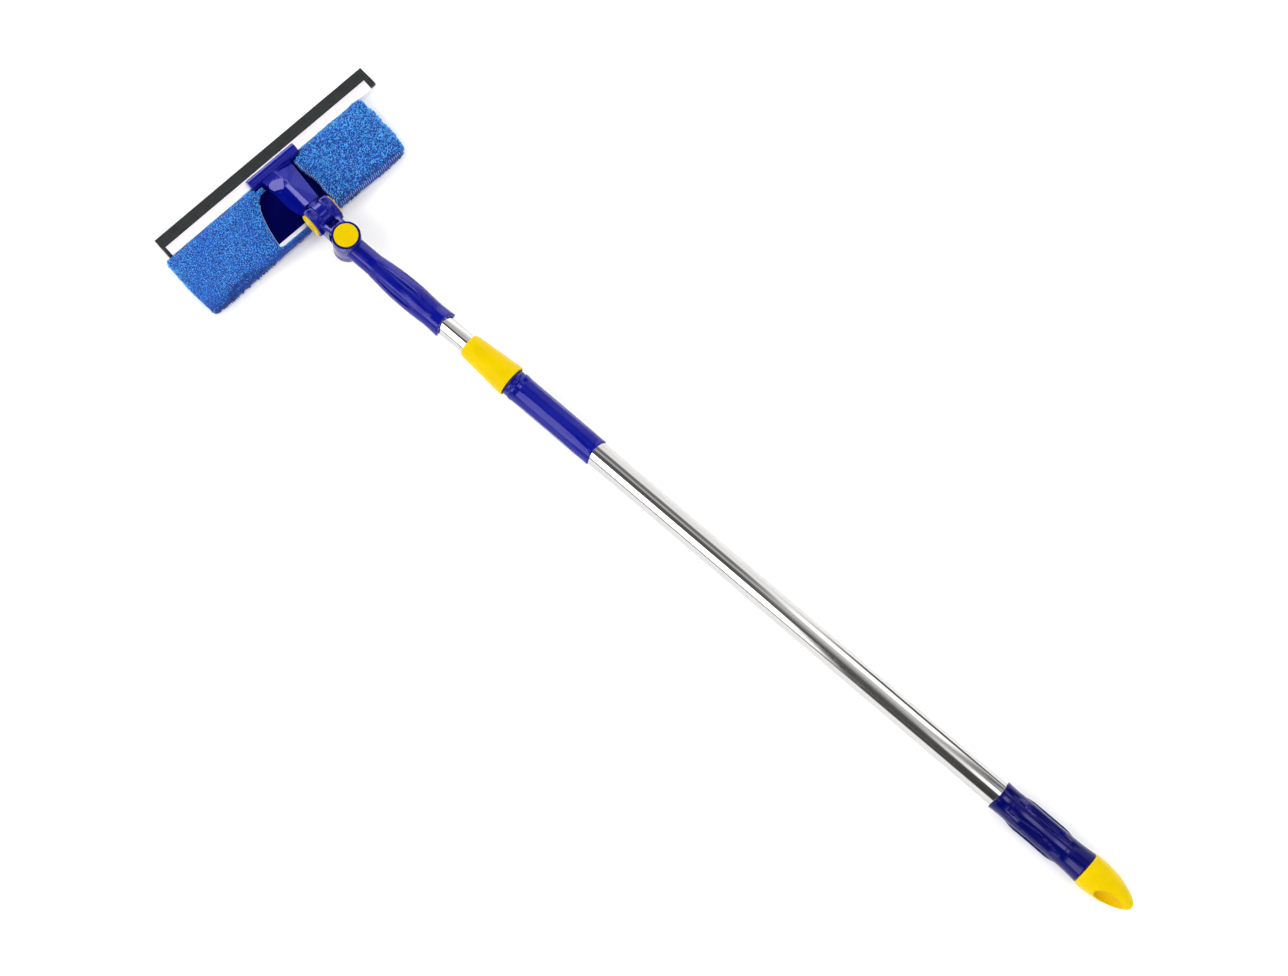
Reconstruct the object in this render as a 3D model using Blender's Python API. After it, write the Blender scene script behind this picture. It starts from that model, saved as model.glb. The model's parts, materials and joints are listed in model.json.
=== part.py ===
"""Telescopic window squeegee with a rubber blade, a microfibre sleeve and a two-way pivoting head.

The tool lies on a level surface: the sleeve's back is flat on it and the end cap touches it.
+Y runs along the pole towards the head, +X to the right along the blade and +Z up.
The origin is under the middle of the whole tool, at the level that it lies on.

Lengths are in metres, written as millimetres times MM. Three nested frames carry the pieces:
  pole    origin on the swing axis, +Y towards the head; the handle lies at negative Y
  swing   the pole frame turned about the swing axis; it carries the link
  head    origin under the tilt axis at the level of the surface; +Y towards the blade's edge
"""

import math

import bmesh
import bpy
from mathutils import Matrix, Vector

MM = 0.001
GAP = 0.3 * MM                      # left between pieces that touch

# Places of the two pivots and of the pole
SWING_AXIS_HEIGHT = 33.8 * MM
TILT_FROM_SWING = 33.4 * MM
SWING_AT_REST = math.radians(-6.7)
CAP_RADIUS_MAX = 16.2 * MM
CAP_TOUCHES_AT = 877.0 * MM         # distance from the swing axis to the cap's widest circle

# Blade
BLADE_LENGTH = 250.0 * MM
BLADE_SHIFT = -0.5 * MM
BLADE_EDGE_Y = 92.6 * MM
BLADE_Z = 9.0 * MM
CHANNEL_LENGTH = 240.5 * MM
CHANNEL_SHIFT = -2.2 * MM
CHANNEL_BACK_Y = 69.8 * MM
CHANNEL_FRONT_Y = 80.0 * MM
CHANNEL_HALF_HEIGHT = 4.4 * MM
CHANNEL_WALL = 1.2 * MM

# Pad and sleeve
PLATE_HALF_WIDTH = 98.0 * MM
PLATE_REAR_Y = 10.0 * MM
PLATE_FRONT_Y = 68.0 * MM
PLATE_BOTTOM = 5.2 * MM
PLATE_TOP = 9.2 * MM
JAW_HALF_WIDTH = 26.0 * MM
JAW_BOTTOM = 1.2 * MM
SCREW_X = 12.0 * MM
SCREW_Y = 60.0 * MM
SLEEVE_LEFT = -131.0 * MM
SLEEVE_RIGHT = 104.5 * MM
SLEEVE_REAR = 3.0 * MM
SLEEVE_FRONT = 69.4 * MM
SLEEVE_TOP = 14.2 * MM
CLAMP_HALF_WIDTH = 28.0 * MM

# Pivots: the same bolt, caps and washers serve both
EYE_RADIUS = 13.5 * MM
EAR_THICKNESS = 8.2 * MM
TILT_EAR_FACE = 5.2 * MM            # from the middle of the pivot to the inner face of an ear
SWING_EAR_FACE = 11.1 * MM
WASHER_THICKNESS = 0.4 * MM
CAP_DISC_RADIUS = 11.8 * MM
CAP_RECESS_RADIUS = 12.1 * MM
CAP_RECESS_DEPTH = 2.0 * MM
POCKET_RADIUS = 5.3 * MM
POCKET_DEPTH = 5.6 * MM
BOLT_RADIUS = 2.4 * MM
BOLT_HOLE_RADIUS = 2.8 * MM
NUT_RADIUS = 4.6 * MM

# Pole: stations are distances behind the swing axis
ADAPTOR_END = 120.1 * MM
SOCKET_DEPTH_AT = 62.0 * MM
INNER_TUBE_RADIUS = 9.5 * MM
OUTER_TUBE_RADIUS = 12.0 * MM
TUBE_WALL = 0.6 * MM
INNER_TUBE_END = 815.0 * MM
OUTER_TUBE_START = 196.0 * MM
OUTER_TUBE_END = 868.0 * MM
UPPER_GRIP_START = 200.6 * MM
UPPER_GRIP_END = 301.0 * MM
LOWER_GRIP_START = 772.0 * MM
LOWER_GRIP_END = 872.0 * MM
HANG_HOLE_ROLL = math.radians(50.0)
HANG_HOLE_AT = 908.0 * MM
HANG_HOLE_HALF_WIDTH = 4.8 * MM
HANG_HOLE_HALF_LENGTH = 9.6 * MM
HANG_SCOOP = (8.2 * MM, 14.5 * MM, 6.6 * MM)    # half sizes of the hollow at each mouth
HANG_SCOOP_OFFSET = 12.3 * MM
SCREW_FROM_SWING = 90.0 * MM
RIDGE_SLOPE = math.radians(23.9)

SEGMENTS = 36
SMALL_SEGMENTS = 20
# These bodies have many cuts that nearly touch, which the EXACT solver leaves open.
MANIFOLD_BODIES = ("end_cap", "head_bracket", "link_knuckle", "pad_plate")

NAVY = (0.012, 0.008, 0.26)
YELLOW = (0.93, 0.66, 0.0)
STEEL = (0.72, 0.72, 0.73)
ZINC = (0.55, 0.56, 0.58)
ALUMINIUM = (0.86, 0.86, 0.88)
RUBBER_BLACK = (0.02, 0.021, 0.022)
NYLON = (0.75, 0.75, 0.72)
SLEEVE_BLUE = (0.05, 0.19, 0.68)


# ---------------------------------------------------------------- helpers

def clear_scene():
    for item in list(bpy.data.objects):
        bpy.data.objects.remove(item)


def material(name, colour, roughness, metallic=0.0):
    """One Principled material for each piece."""
    made = bpy.data.materials.new(name)
    made.use_nodes = True
    shader = made.node_tree.nodes["Principled BSDF"]
    shader.inputs["Base Color"].default_value = (*colour, 1.0)
    shader.inputs["Roughness"].default_value = roughness
    shader.inputs["Metallic"].default_value = metallic
    made.diffuse_color = (*colour, 1.0)
    return made


def plastic(name, colour):
    return material(name, colour, 0.3)


def metal(name, colour, roughness=0.25):
    return material(name, colour, roughness, 1.0)


def frame(name, parent=None, location=(0, 0, 0), rotation=(0, 0, 0)):
    """An empty that carries pieces."""
    empty = bpy.data.objects.new(name, None)
    bpy.context.scene.collection.objects.link(empty)
    empty.parent = parent
    empty.location = location
    empty.rotation_euler = rotation
    return empty


def solid(name, mesh, parent, finish=None, smooth=True):
    """Links a closed mesh as a piece of the tool."""
    made = bpy.data.objects.new(name, mesh)
    bpy.context.scene.collection.objects.link(made)
    made.parent = parent
    if finish:
        mesh.materials.append(finish)
    if smooth:
        mesh.shade_smooth()
        mesh.set_sharp_from_angle(angle=math.radians(35))
    return made


def tool(name, mesh, parent):
    """Links a mesh that only cuts or builds another one."""
    made = solid(name, mesh, parent, smooth=False)
    made.hide_render = True
    made.display_type = "WIRE"
    return made


def combine(target, operand, operation):
    step = target.modifiers.new(operation.title(), "BOOLEAN")
    step.operation = operation
    step.solver = "MANIFOLD" if target.name in MANIFOLD_BODIES else "EXACT"
    step.object = operand


def cut(target, name, mesh):
    combine(target, tool(name, mesh, target.parent), "DIFFERENCE")


def fuse(target, name, mesh):
    combine(target, tool(name, mesh, target.parent), "UNION")


def to_mesh(name, bm):
    bmesh.ops.recalc_face_normals(bm, faces=bm.faces)
    mesh = bpy.data.meshes.new(name)
    bm.to_mesh(mesh)
    bm.free()
    return mesh


def box(name, low, high):
    bm = bmesh.new()
    bmesh.ops.create_cube(bm, size=1.0)
    size = Vector(high) - Vector(low)
    middle = (Vector(high) + Vector(low)) / 2
    bm.transform(Matrix.Translation(middle) @ Matrix.Diagonal(size).to_4x4())
    return to_mesh(name, bm)


def prism(name, outline, low, high, along="Z"):
    """Extrudes a closed outline. Along Z the outline is (x, y), and along X it is (y, z)."""
    bm = bmesh.new()
    if along == "Z":
        corners = [bm.verts.new((a, b, low)) for a, b in outline]
        travel = Vector((0, 0, high - low))
    else:
        corners = [bm.verts.new((low, a, b)) for a, b in outline]
        travel = Vector((high - low, 0, 0))
    face = bm.faces.new(corners)
    grown = bmesh.ops.extrude_face_region(bm, geom=[face])
    moved = [v for v in grown["geom"] if isinstance(v, bmesh.types.BMVert)]
    bmesh.ops.translate(bm, vec=travel, verts=moved)
    return to_mesh(name, bm)


def turned(name, profile, axis="Y", segments=SEGMENTS, closed=True, shape=None):
    """Turns a profile of (radius, station) pairs about an axis.

    A closed profile makes a ring or tube. An open one starts and ends on the axis.
    shape, if given, changes the radius of a point from its radius, angle and station.
    """
    bm = bmesh.new()
    points = [bm.verts.new((radius, station, 0)) for radius, station in profile]
    pairs = list(zip(points, points[1:]))
    if closed:
        pairs.append((points[-1], points[0]))
    edges = [bm.edges.new(pair) for pair in pairs]
    bmesh.ops.spin(
        bm, geom=points + edges, cent=(0, 0, 0), axis=(0, 1, 0),
        angle=math.tau, steps=segments, use_merge=True,
    )
    bmesh.ops.remove_doubles(bm, verts=bm.verts, dist=0.001 * MM)
    if shape:
        for vertex in bm.verts:
            radius = math.hypot(vertex.co.x, vertex.co.z)
            if radius < 0.01 * MM:
                continue
            angle = math.atan2(vertex.co.z, vertex.co.x)
            scale = shape(radius, angle, vertex.co.y) / radius
            vertex.co.x *= scale
            vertex.co.z *= scale
    if axis == "Z":
        bm.transform(Matrix.Rotation(math.radians(90), 4, "X"))
    if axis == "X":
        bm.transform(Matrix.Rotation(math.radians(-90), 4, "Z"))
    return to_mesh(name, bm)


def cylinder(name, radius, low, high, axis="Y", segments=SEGMENTS, at=(0, 0, 0)):
    mesh = turned(
        name, [(0, low), (radius, low), (radius, high), (0, high)],
        axis, segments, closed=False,
    )
    mesh.transform(Matrix.Translation(at))
    return mesh


def loft(name, sections):
    """Skins closed sections, each a list of points, and caps both ends."""
    bm = bmesh.new()
    rings = [[bm.verts.new(point) for point in section] for section in sections]
    for ring, following in zip(rings, rings[1:]):
        for index, corner in enumerate(ring):
            beside = (index + 1) % len(ring)
            bm.faces.new((corner, ring[beside], following[beside], following[index]))
    bm.faces.new(rings[0])
    bm.faces.new(rings[-1])
    return to_mesh(name, bm)


def behind(profile):
    """Turns stations counted behind the swing axis into the pole frame's Y."""
    return [(radius, -station) for radius, station in profile]


def millimetres(pairs):
    return [(first * MM, second * MM) for first, second in pairs]


# ---------------------------------------------------------------- pole

def ribs(count, depth, start, end, inner):
    """Lengthwise grooves between start and end that fade out at both ends."""
    def shape(radius, angle, station):
        behind_axis = -station
        if radius < inner or not start < behind_axis < end:
            return radius
        fade = math.sin(math.pi * (behind_axis - start) / (end - start)) ** 0.5
        return radius - depth * fade * (0.5 + 0.5 * math.cos(count * angle))
    return shape


def make_outer_tube(pole):
    wall = [
        (OUTER_TUBE_RADIUS, OUTER_TUBE_START), (OUTER_TUBE_RADIUS, OUTER_TUBE_END),
        (OUTER_TUBE_RADIUS - TUBE_WALL, OUTER_TUBE_END),
        (OUTER_TUBE_RADIUS - TUBE_WALL, OUTER_TUBE_START),
    ]
    solid("outer_tube", turned("outer_tube", behind(wall)), pole, metal("outer_tube", STEEL, 0.12))


def make_inner_tube(pole):
    start = SOCKET_DEPTH_AT + GAP
    wall = [
        (INNER_TUBE_RADIUS, start), (INNER_TUBE_RADIUS, INNER_TUBE_END),
        (INNER_TUBE_RADIUS - TUBE_WALL, INNER_TUBE_END),
        (INNER_TUBE_RADIUS - TUBE_WALL, start),
    ]
    solid("inner_tube", turned("inner_tube", behind(wall)), pole, metal("inner_tube", STEEL, 0.12))


def make_guide_bush(pole):
    """Plastic ring on the inner tube's end, which slides in the outer tube."""
    bore = INNER_TUBE_RADIUS + 0.25 * MM
    outside = OUTER_TUBE_RADIUS - TUBE_WALL - 0.2 * MM
    start = INNER_TUBE_END - 20 * MM
    end = INNER_TUBE_END - 3 * MM
    ring = [(outside, start), (outside, end), (bore, end), (bore, start)]
    solid("guide_bush", turned("guide_bush", behind(ring)), pole, plastic("guide_bush", NYLON))


def make_inner_tube_plug(pole):
    """Closes the inner tube and keeps the guide bush on it."""
    bore = INNER_TUBE_RADIUS - TUBE_WALL - GAP
    flange = OUTER_TUBE_RADIUS - TUBE_WALL - 0.6 * MM
    seat = INNER_TUBE_END + GAP
    profile = [(0, seat - 15 * MM), (bore, seat - 15 * MM), (bore, seat),
               (flange, seat), (flange, seat + 3 * MM), (0, seat + 3 * MM)]
    mesh = turned("inner_tube_plug", behind(profile), segments=SMALL_SEGMENTS, closed=False)
    solid("inner_tube_plug", mesh, pole, plastic("inner_tube_plug", NYLON))


def make_collet(pole):
    """Split sleeve in the mouth of the outer tube: the collar squeezes its four fingers."""
    bore = INNER_TUBE_RADIUS + 0.25 * MM
    spigot = OUTER_TUBE_RADIUS - TUBE_WALL - 0.25 * MM
    shoulder = OUTER_TUBE_START - GAP
    profile = [
        (bore, 158 * MM), (11.0 * MM, 158 * MM), (12.1 * MM, 177 * MM), (12.9 * MM, 178 * MM),
        (12.9 * MM, shoulder), (spigot, shoulder), (spigot, 230 * MM), (bore, 230 * MM),
    ]
    body = solid("collet", turned("collet", behind(profile)), pole, plastic("collet", NYLON))
    for index in range(4):
        slot = box(f"collet_slot_{index}", (-0.8 * MM, -176 * MM, 0), (0.8 * MM, -150 * MM, 20 * MM))
        slot.transform(Matrix.Rotation(math.radians(45 + 90 * index), 4, "Y"))
        cut(body, f"collet_slot_{index}", slot)


def make_lock_collar(pole):
    """Tapered twist collar over the collet."""
    outside = millimetres([
        (9.9, 147.2), (10.7, 147.2), (11.4, 148.6), (12.0, 152.5), (12.6, 160.0), (13.7, 174.5),
        (15.3, 192.0), (15.5, 196.0), (15.4, 199.0), (15.0, 199.7),
    ])
    inside = millimetres([(13.9, 199.7), (13.4, 176.5), (12.6, 175.5), (11.6, 156.5), (9.9, 154.0)])
    mesh = turned("lock_collar", behind(outside + inside))
    solid("lock_collar", mesh, pole, plastic("lock_collar", YELLOW))


def make_upper_grip(pole):
    bore = OUTER_TUBE_RADIUS + GAP
    outside = millimetres([
        (13.2, 200.6), (13.3, 203.0), (13.9, 205.5), (13.9, 208.5), (13.4, 212.0),
        (13.4, 285.0), (13.1, 297.0), (13.3, 301.0),
    ])
    profile = outside + [(bore, UPPER_GRIP_END), (bore, UPPER_GRIP_START)]
    solid("upper_grip", turned("upper_grip", behind(profile)), pole, plastic("upper_grip", NAVY))


def make_lower_grip(pole):
    bore = OUTER_TUBE_RADIUS + GAP
    outside = millimetres([
        (14.2, 772.0), (13.8, 776.0), (13.8, 786.0), (15.2, 797.0), (15.6, 802.0), (15.6, 836.0),
        (15.2, 842.0), (14.0, 850.0), (14.1, 857.0), (14.8, 867.0), (15.3, 872.0),
    ])
    profile = outside + [(bore, LOWER_GRIP_END), (bore, LOWER_GRIP_START)]
    shape = ribs(9, 1.0 * MM, 788 * MM, 849 * MM, bore + 1 * MM)
    mesh = turned("lower_grip", behind(profile), shape=shape)
    solid("lower_grip", mesh, pole, plastic("lower_grip", NAVY))


def make_end_cap(pole):
    """Bullet-shaped cap: its spigot plugs the outer tube, and an oval hole hangs the tool up."""
    spigot = OUTER_TUBE_RADIUS - TUBE_WALL - GAP
    seat = LOWER_GRIP_END + GAP
    outside = millimetres([
        (16.2, 877.0), (16.1, 882.0), (15.5, 890.0), (14.4, 898.5), (12.1, 907.0),
        (8.8, 915.5), (4.6, 922.0), (0, 925.3),
    ])
    profile = [(0, 850 * MM), (spigot, 850 * MM), (spigot, seat), (15.7 * MM, seat)] + outside
    cap = solid(
        "end_cap", turned("end_cap", behind(profile), closed=False), pole, plastic("end_cap", YELLOW)
    )
    oval = []
    for step in range(16):
        angle = math.tau * step / 16
        oval.append((HANG_HOLE_HALF_WIDTH * math.cos(angle),
                     HANG_HOLE_HALF_LENGTH * math.sin(angle) - HANG_HOLE_AT))
    through = prism("hang_hole", oval, -30 * MM, 30 * MM)
    through.transform(Matrix.Rotation(-HANG_HOLE_ROLL, 4, "Y"))
    cut(cap, "hang_hole", through)
    for name, side in (("hang_scoop_top", 1), ("hang_scoop_bottom", -1)):
        bm = bmesh.new()
        bmesh.ops.create_uvsphere(bm, u_segments=20, v_segments=10, radius=1.0)
        bm.transform(Matrix.Diagonal(HANG_SCOOP).to_4x4())
        bm.transform(Matrix.Translation((0, -HANG_HOLE_AT - 2 * MM, side * HANG_SCOOP_OFFSET)))
        bm.transform(Matrix.Rotation(-HANG_HOLE_ROLL, 4, "Y"))
        cut(cap, name, to_mesh(name, bm))


def make_handle_adaptor(neck):
    """Fluted socket for the inner tube, with the swing eye at its front end."""
    bore = INNER_TUBE_RADIUS + GAP
    outside = millimetres([
        (10.4, 8.0), (10.4, 33.0), (11.6, 44.0), (12.9, 58.0), (13.4, 70.0), (13.3, 84.0),
        (12.8, 95.0), (12.3, 104.0), (12.5, 112.0), (13.0, 120.1),
    ])
    profile = [(0, 8.0 * MM)] + outside + [(bore, ADAPTOR_END), (bore, SOCKET_DEPTH_AT),
                                           (0, SOCKET_DEPTH_AT)]
    shape = ribs(6, 1.3 * MM, 40 * MM, 106 * MM, bore + 0.2 * MM)
    mesh = turned("handle_adaptor", behind(profile), closed=False, shape=shape)
    adaptor = solid("handle_adaptor", mesh, neck, plastic("handle_adaptor", NAVY))
    half = SWING_EAR_FACE - WASHER_THICKNESS - 2 * GAP
    fuse(adaptor, "swing_eye", cylinder("swing_eye", EYE_RADIUS, -half, half, "Z"))
    reach = half + 5 * MM
    cut(adaptor, "swing_eye_bore",
        cylinder("swing_eye_bore", BOLT_HOLE_RADIUS, -reach, reach, "Z", SMALL_SEGMENTS))
    cut(adaptor, "adaptor_screw_hole",
        cylinder("adaptor_screw_hole", 2.0 * MM, -20 * MM, -9 * MM, "Z", SMALL_SEGMENTS,
                 (0, -SCREW_FROM_SWING, 0)))


def make_adaptor_screw(neck):
    """Pan-head screw under the adaptor that ends just short of the tube."""
    profile = [(0, -14.6 * MM), (2.4 * MM, -14.6 * MM), (3.0 * MM, -13.9 * MM),
               (3.0 * MM, -13.4 * MM), (1.7 * MM, -13.2 * MM), (1.7 * MM, -9.9 * MM),
               (0, -9.9 * MM)]
    mesh = turned("adaptor_screw", profile, "Z", 16, closed=False)
    mesh.transform(Matrix.Translation((0, -SCREW_FROM_SWING, 0)))
    solid("adaptor_screw", mesh, neck, metal("adaptor_screw", ZINC))


# ---------------------------------------------------------------- pivots

def ear_cuts(body, prefix, axis, ear_face, centre):
    """Stepped bore of each ear: bolt hole, head pocket and cap recess."""
    outer = ear_face + EAR_THICKNESS
    steps = [(BOLT_HOLE_RADIUS, ear_face - 1 * MM), (POCKET_RADIUS, outer - POCKET_DEPTH),
             (CAP_RECESS_RADIUS, outer - CAP_RECESS_DEPTH)]
    far = outer + 5 * MM
    for side, end in ((-1, "minus"), (1, "plus")):
        profile = [(0, side * steps[0][1])]
        for index, (radius, start) in enumerate(steps):
            stop = steps[index + 1][1] if index + 1 < len(steps) else far
            profile += [(radius, side * start), (radius, side * stop)]
        profile.append((0, side * far))
        name = f"{prefix}_bore_{end}"
        mesh = turned(name, profile, axis, SEGMENTS, closed=False)
        mesh.transform(Matrix.Translation(centre))
        cut(body, name, mesh)


def hexagon(radius, angle, station):
    """Turns the outside of the nut into six flats."""
    if radius < NUT_RADIUS - 0.1 * MM:
        return radius
    corner = math.radians(60)
    from_flat = angle % corner - corner / 2
    return radius * math.cos(corner / 2) / math.cos(from_flat)


def pivot_hardware(prefix, parent, axis, ear_face, centre, ends):
    """Bolt, nut, spring washer, two friction washers and two press-in caps on one axis."""
    outer = ear_face + EAR_THICKNESS
    floor = outer - POCKET_DEPTH
    lid = outer - CAP_RECESS_DEPTH

    def place(name, profile, finish, segments, closed, shape=None):
        mesh = turned(name, profile, axis, segments, closed, shape)
        mesh.transform(Matrix.Translation(centre))
        solid(name, mesh, parent, finish)

    head_under = -(floor + GAP)
    bolt = [(0, -(lid - GAP)), (3.6 * MM, -(lid - GAP)), (4.3 * MM, head_under - 1.6 * MM),
            (4.3 * MM, head_under), (BOLT_RADIUS, head_under), (BOLT_RADIUS, lid - GAP),
            (0, lid - GAP)]
    place(f"{prefix}_bolt", bolt, metal(f"{prefix}_bolt", ZINC), SMALL_SEGMENTS, False)

    spring_low = floor + GAP
    spring = [(4.8 * MM, spring_low), (4.8 * MM, spring_low + 0.5 * MM),
              (2.7 * MM, spring_low + 0.8 * MM), (2.7 * MM, spring_low + 0.3 * MM)]
    name = f"{prefix}_spring_washer"
    place(name, spring, metal(name, ZINC), SMALL_SEGMENTS, True)

    nut_low = spring_low + 1.1 * MM
    nut_high = lid - GAP
    nut = [(NUT_RADIUS, nut_low), (NUT_RADIUS, nut_high), (2.65 * MM, nut_high),
           (2.65 * MM, nut_low)]
    place(f"{prefix}_nut", nut, metal(f"{prefix}_nut", ZINC), 24, True, hexagon)

    for side in (-1, 1):
        end = ends[0] if side < 0 else ends[1]
        inner = side * (ear_face - GAP - WASHER_THICKNESS)
        face = side * (ear_face - GAP)
        ring = [(10.5 * MM, inner), (10.5 * MM, face), (3.0 * MM, face), (3.0 * MM, inner)]
        name = f"{prefix}_washer_{end}"
        place(name, ring, metal(name, ZINC), SMALL_SEGMENTS, True)

        seat = side * (lid + GAP)
        rim = side * (outer + 1.0 * MM)
        crown = side * (outer + 1.6 * MM)
        disc = [(0, seat), (CAP_DISC_RADIUS, seat), (CAP_DISC_RADIUS, rim),
                (CAP_DISC_RADIUS - 0.8 * MM, crown), (0, crown)]
        name = f"{prefix}_cap_{end}"
        place(name, disc, plastic(name, YELLOW), SEGMENTS, False)


def make_link(swing):
    """Knuckle with two upright-axis ears for the swing and two level-axis ears for the tilt."""
    tilt_centre = (0, TILT_FROM_SWING, 0)
    tall = SWING_EAR_FACE + EAR_THICKNESS
    wide = TILT_EAR_FACE + EAR_THICKNESS
    waist = [(2.0, 9.0, 19.0), (9.0, 9.0, 18.6), (16.0, 9.0, 15.0), (22.0, 10.5, 10.5),
             (32.0, 12.0, 9.0)]
    sections = []
    for station, half_x, half_z in waist:
        sections.append([
            (x * half_x * MM, station * MM, z * half_z * MM)
            for x, z in ((-1, -1), (1, -1), (1, 1), (-1, 1))
        ])
    knuckle = solid("link_knuckle", loft("link_knuckle", sections), swing,
                    plastic("link_knuckle", NAVY))
    fuse(knuckle, "swing_barrel", cylinder("swing_barrel", EYE_RADIUS, -tall, tall, "Z"))
    fuse(knuckle, "tilt_barrel",
         cylinder("tilt_barrel", EYE_RADIUS, -wide, wide, "X", at=tilt_centre))
    run = 0.7 * MM
    cut(knuckle, "swing_slot", box(
        "swing_slot", (-30 * MM, -30 * MM, -SWING_EAR_FACE),
        (30 * MM, EYE_RADIUS + run, SWING_EAR_FACE),
    ))
    cut(knuckle, "tilt_slot", box(
        "tilt_slot", (-TILT_EAR_FACE, TILT_FROM_SWING - EYE_RADIUS - run, -30 * MM),
        (TILT_EAR_FACE, 80 * MM, 30 * MM),
    ))
    ear_cuts(knuckle, "swing", "Z", SWING_EAR_FACE, (0, 0, 0))
    ear_cuts(knuckle, "tilt", "X", TILT_EAR_FACE, tilt_centre)
    pivot_hardware("swing", swing, "Z", SWING_EAR_FACE, (0, 0, 0), ("bottom", "top"))
    pivot_hardware("tilt", swing, "X", TILT_EAR_FACE, tilt_centre, ("left", "right"))


# ---------------------------------------------------------------- head

def make_blade(head):
    """Rubber lip with a bead, and the aluminium channel that holds the bead."""
    z = BLADE_Z
    bead = 2.9 * MM
    root = 2.6 * MM
    tip = 1.0 * MM
    bead_back = CHANNEL_BACK_Y + CHANNEL_WALL + GAP
    bead_front = CHANNEL_FRONT_Y - 0.6 * MM
    lip_start = CHANNEL_FRONT_Y + 0.3 * MM
    lower = [(bead_back, z - bead), (bead_front, z - bead), (lip_start, z - root),
             (BLADE_EDGE_Y, z - tip)]
    upper = [(y, 2 * z - height) for y, height in reversed(lower)]
    half = BLADE_LENGTH / 2
    rubber = prism("squeegee_rubber", lower + upper, BLADE_SHIFT - half, BLADE_SHIFT + half, "X")
    solid("squeegee_rubber", rubber, head, material("squeegee_rubber", RUBBER_BLACK, 0.55))

    outer = CHANNEL_HALF_HEIGHT
    inner = outer - CHANNEL_WALL
    slope_y = CHANNEL_BACK_Y + 4.4 * MM
    back = outer - 0.7 * MM
    section = [
        (CHANNEL_FRONT_Y, z - outer), (slope_y, z - outer), (CHANNEL_BACK_Y, z - back),
        (CHANNEL_BACK_Y, z + back), (slope_y, z + outer), (CHANNEL_FRONT_Y, z + outer),
        (CHANNEL_FRONT_Y, z + inner), (CHANNEL_BACK_Y + CHANNEL_WALL, z + inner),
        (CHANNEL_BACK_Y + CHANNEL_WALL, z - inner), (CHANNEL_FRONT_Y, z - inner),
    ]
    half = CHANNEL_LENGTH / 2
    channel = prism(
        "blade_channel", section, CHANNEL_SHIFT - half, CHANNEL_SHIFT + half, "X"
    )
    solid("blade_channel", channel, head, metal("blade_channel", ALUMINIUM))


def neck_section(y, half_bottom, half_top, bottom, top):
    """Six-sided section: a narrow ridge on top and a wide foot."""
    foot = bottom + 2 * MM
    return [(-half_bottom, y, bottom), (half_bottom, y, bottom), (half_bottom, y, foot),
            (half_top, y, top), (-half_top, y, top), (-half_bottom, y, foot)]


def ridge_height(y, tilt_height):
    """The ridge is a straight line that leaves the tilt eye at a tangent."""
    tangent_y = EYE_RADIUS * math.sin(RIDGE_SLOPE)
    tangent_z = tilt_height + EYE_RADIUS * math.cos(RIDGE_SLOPE)
    return tangent_z - (y - tangent_y) * math.tan(RIDGE_SLOPE)


def make_head_bracket(head, tilt_height):
    """Clamp over the channel, ridged neck and the eye of the tilt pivot."""
    base = PLATE_TOP + 0.4 * MM
    hood_low = BLADE_Z + CHANNEL_HALF_HEIGHT + GAP
    hood = [
        (77.8 * MM, hood_low), (77.8 * MM, 16.3 * MM), (76.6 * MM, 18.6 * MM),
        (74.2 * MM, 20.0 * MM), (71.2 * MM, 20.2 * MM), (68.4 * MM, 19.0 * MM),
        (66.6 * MM, 16.6 * MM), (66.0 * MM, 13.0 * MM), (66.0 * MM, base),
        (CHANNEL_BACK_Y - 0.4 * MM, base), (CHANNEL_BACK_Y - 0.4 * MM, hood_low),
    ]
    bracket = solid(
        "head_bracket",
        prism("head_bracket", hood, -CLAMP_HALF_WIDTH, CLAMP_HALF_WIDTH, "X"),
        head, plastic("head_bracket", NAVY),
    )
    tongue = TILT_EAR_FACE - WASHER_THICKNESS - 2 * GAP
    shoulder_y = EYE_RADIUS + 1.1 * MM
    eye_bottom = tilt_height - EYE_RADIUS
    widths = [(68.8, 17.6, 14.0, 0.0), (60.0, 16.4, 10.5, 0.0), (50.0, 14.6, 7.0, 0.0),
              (40.0, 12.8, 4.8, 0.5), (30.0, 11.0, 4.4, 3.5), (20.0, 9.4, 4.4, 8.0)]
    sections = []
    for y, half_bottom, half_top, lift in widths:
        top = min(ridge_height(y * MM, tilt_height), 19.0 * MM if y > 65 else 1.0)
        sections.append(
            neck_section(y * MM, half_bottom * MM, half_top * MM, base + lift * MM, top)
        )
    sections.append(neck_section(
        shoulder_y, 8.6 * MM, tongue, eye_bottom + 0.2 * MM, ridge_height(shoulder_y, tilt_height)
    ))
    fuse(bracket, "bracket_neck", loft("bracket_neck", sections))
    plate = [
        (shoulder_y + 6 * MM, eye_bottom + 0.1 * MM),
        (shoulder_y + 6 * MM, ridge_height(shoulder_y + 6 * MM, tilt_height) - 0.1 * MM),
        (EYE_RADIUS * math.sin(RIDGE_SLOPE),
         tilt_height + EYE_RADIUS * math.cos(RIDGE_SLOPE) - 0.02 * MM),
        (0, tilt_height), (0, eye_bottom + 0.05 * MM),
    ]
    fuse(bracket, "bracket_tongue", prism("bracket_tongue", plate, -tongue, tongue, "X"))
    fuse(bracket, "tilt_eye",
         cylinder("tilt_eye", EYE_RADIUS, -tongue, tongue, "X", at=(0, 0, tilt_height)))
    reach = tongue + 5 * MM
    cut(bracket, "tilt_eye_bore",
        cylinder("tilt_eye_bore", BOLT_HOLE_RADIUS, -reach, reach, "X", SMALL_SEGMENTS,
                 (0, 0, tilt_height)))
    for end, side in (("left", -1), ("right", 1)):
        name = f"bracket_screw_hole_{end}"
        cut(bracket, name, cylinder(name, 2.2 * MM, 0, 17 * MM, "Z", 16,
                                    (side * SCREW_X, SCREW_Y, 0)))


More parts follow.
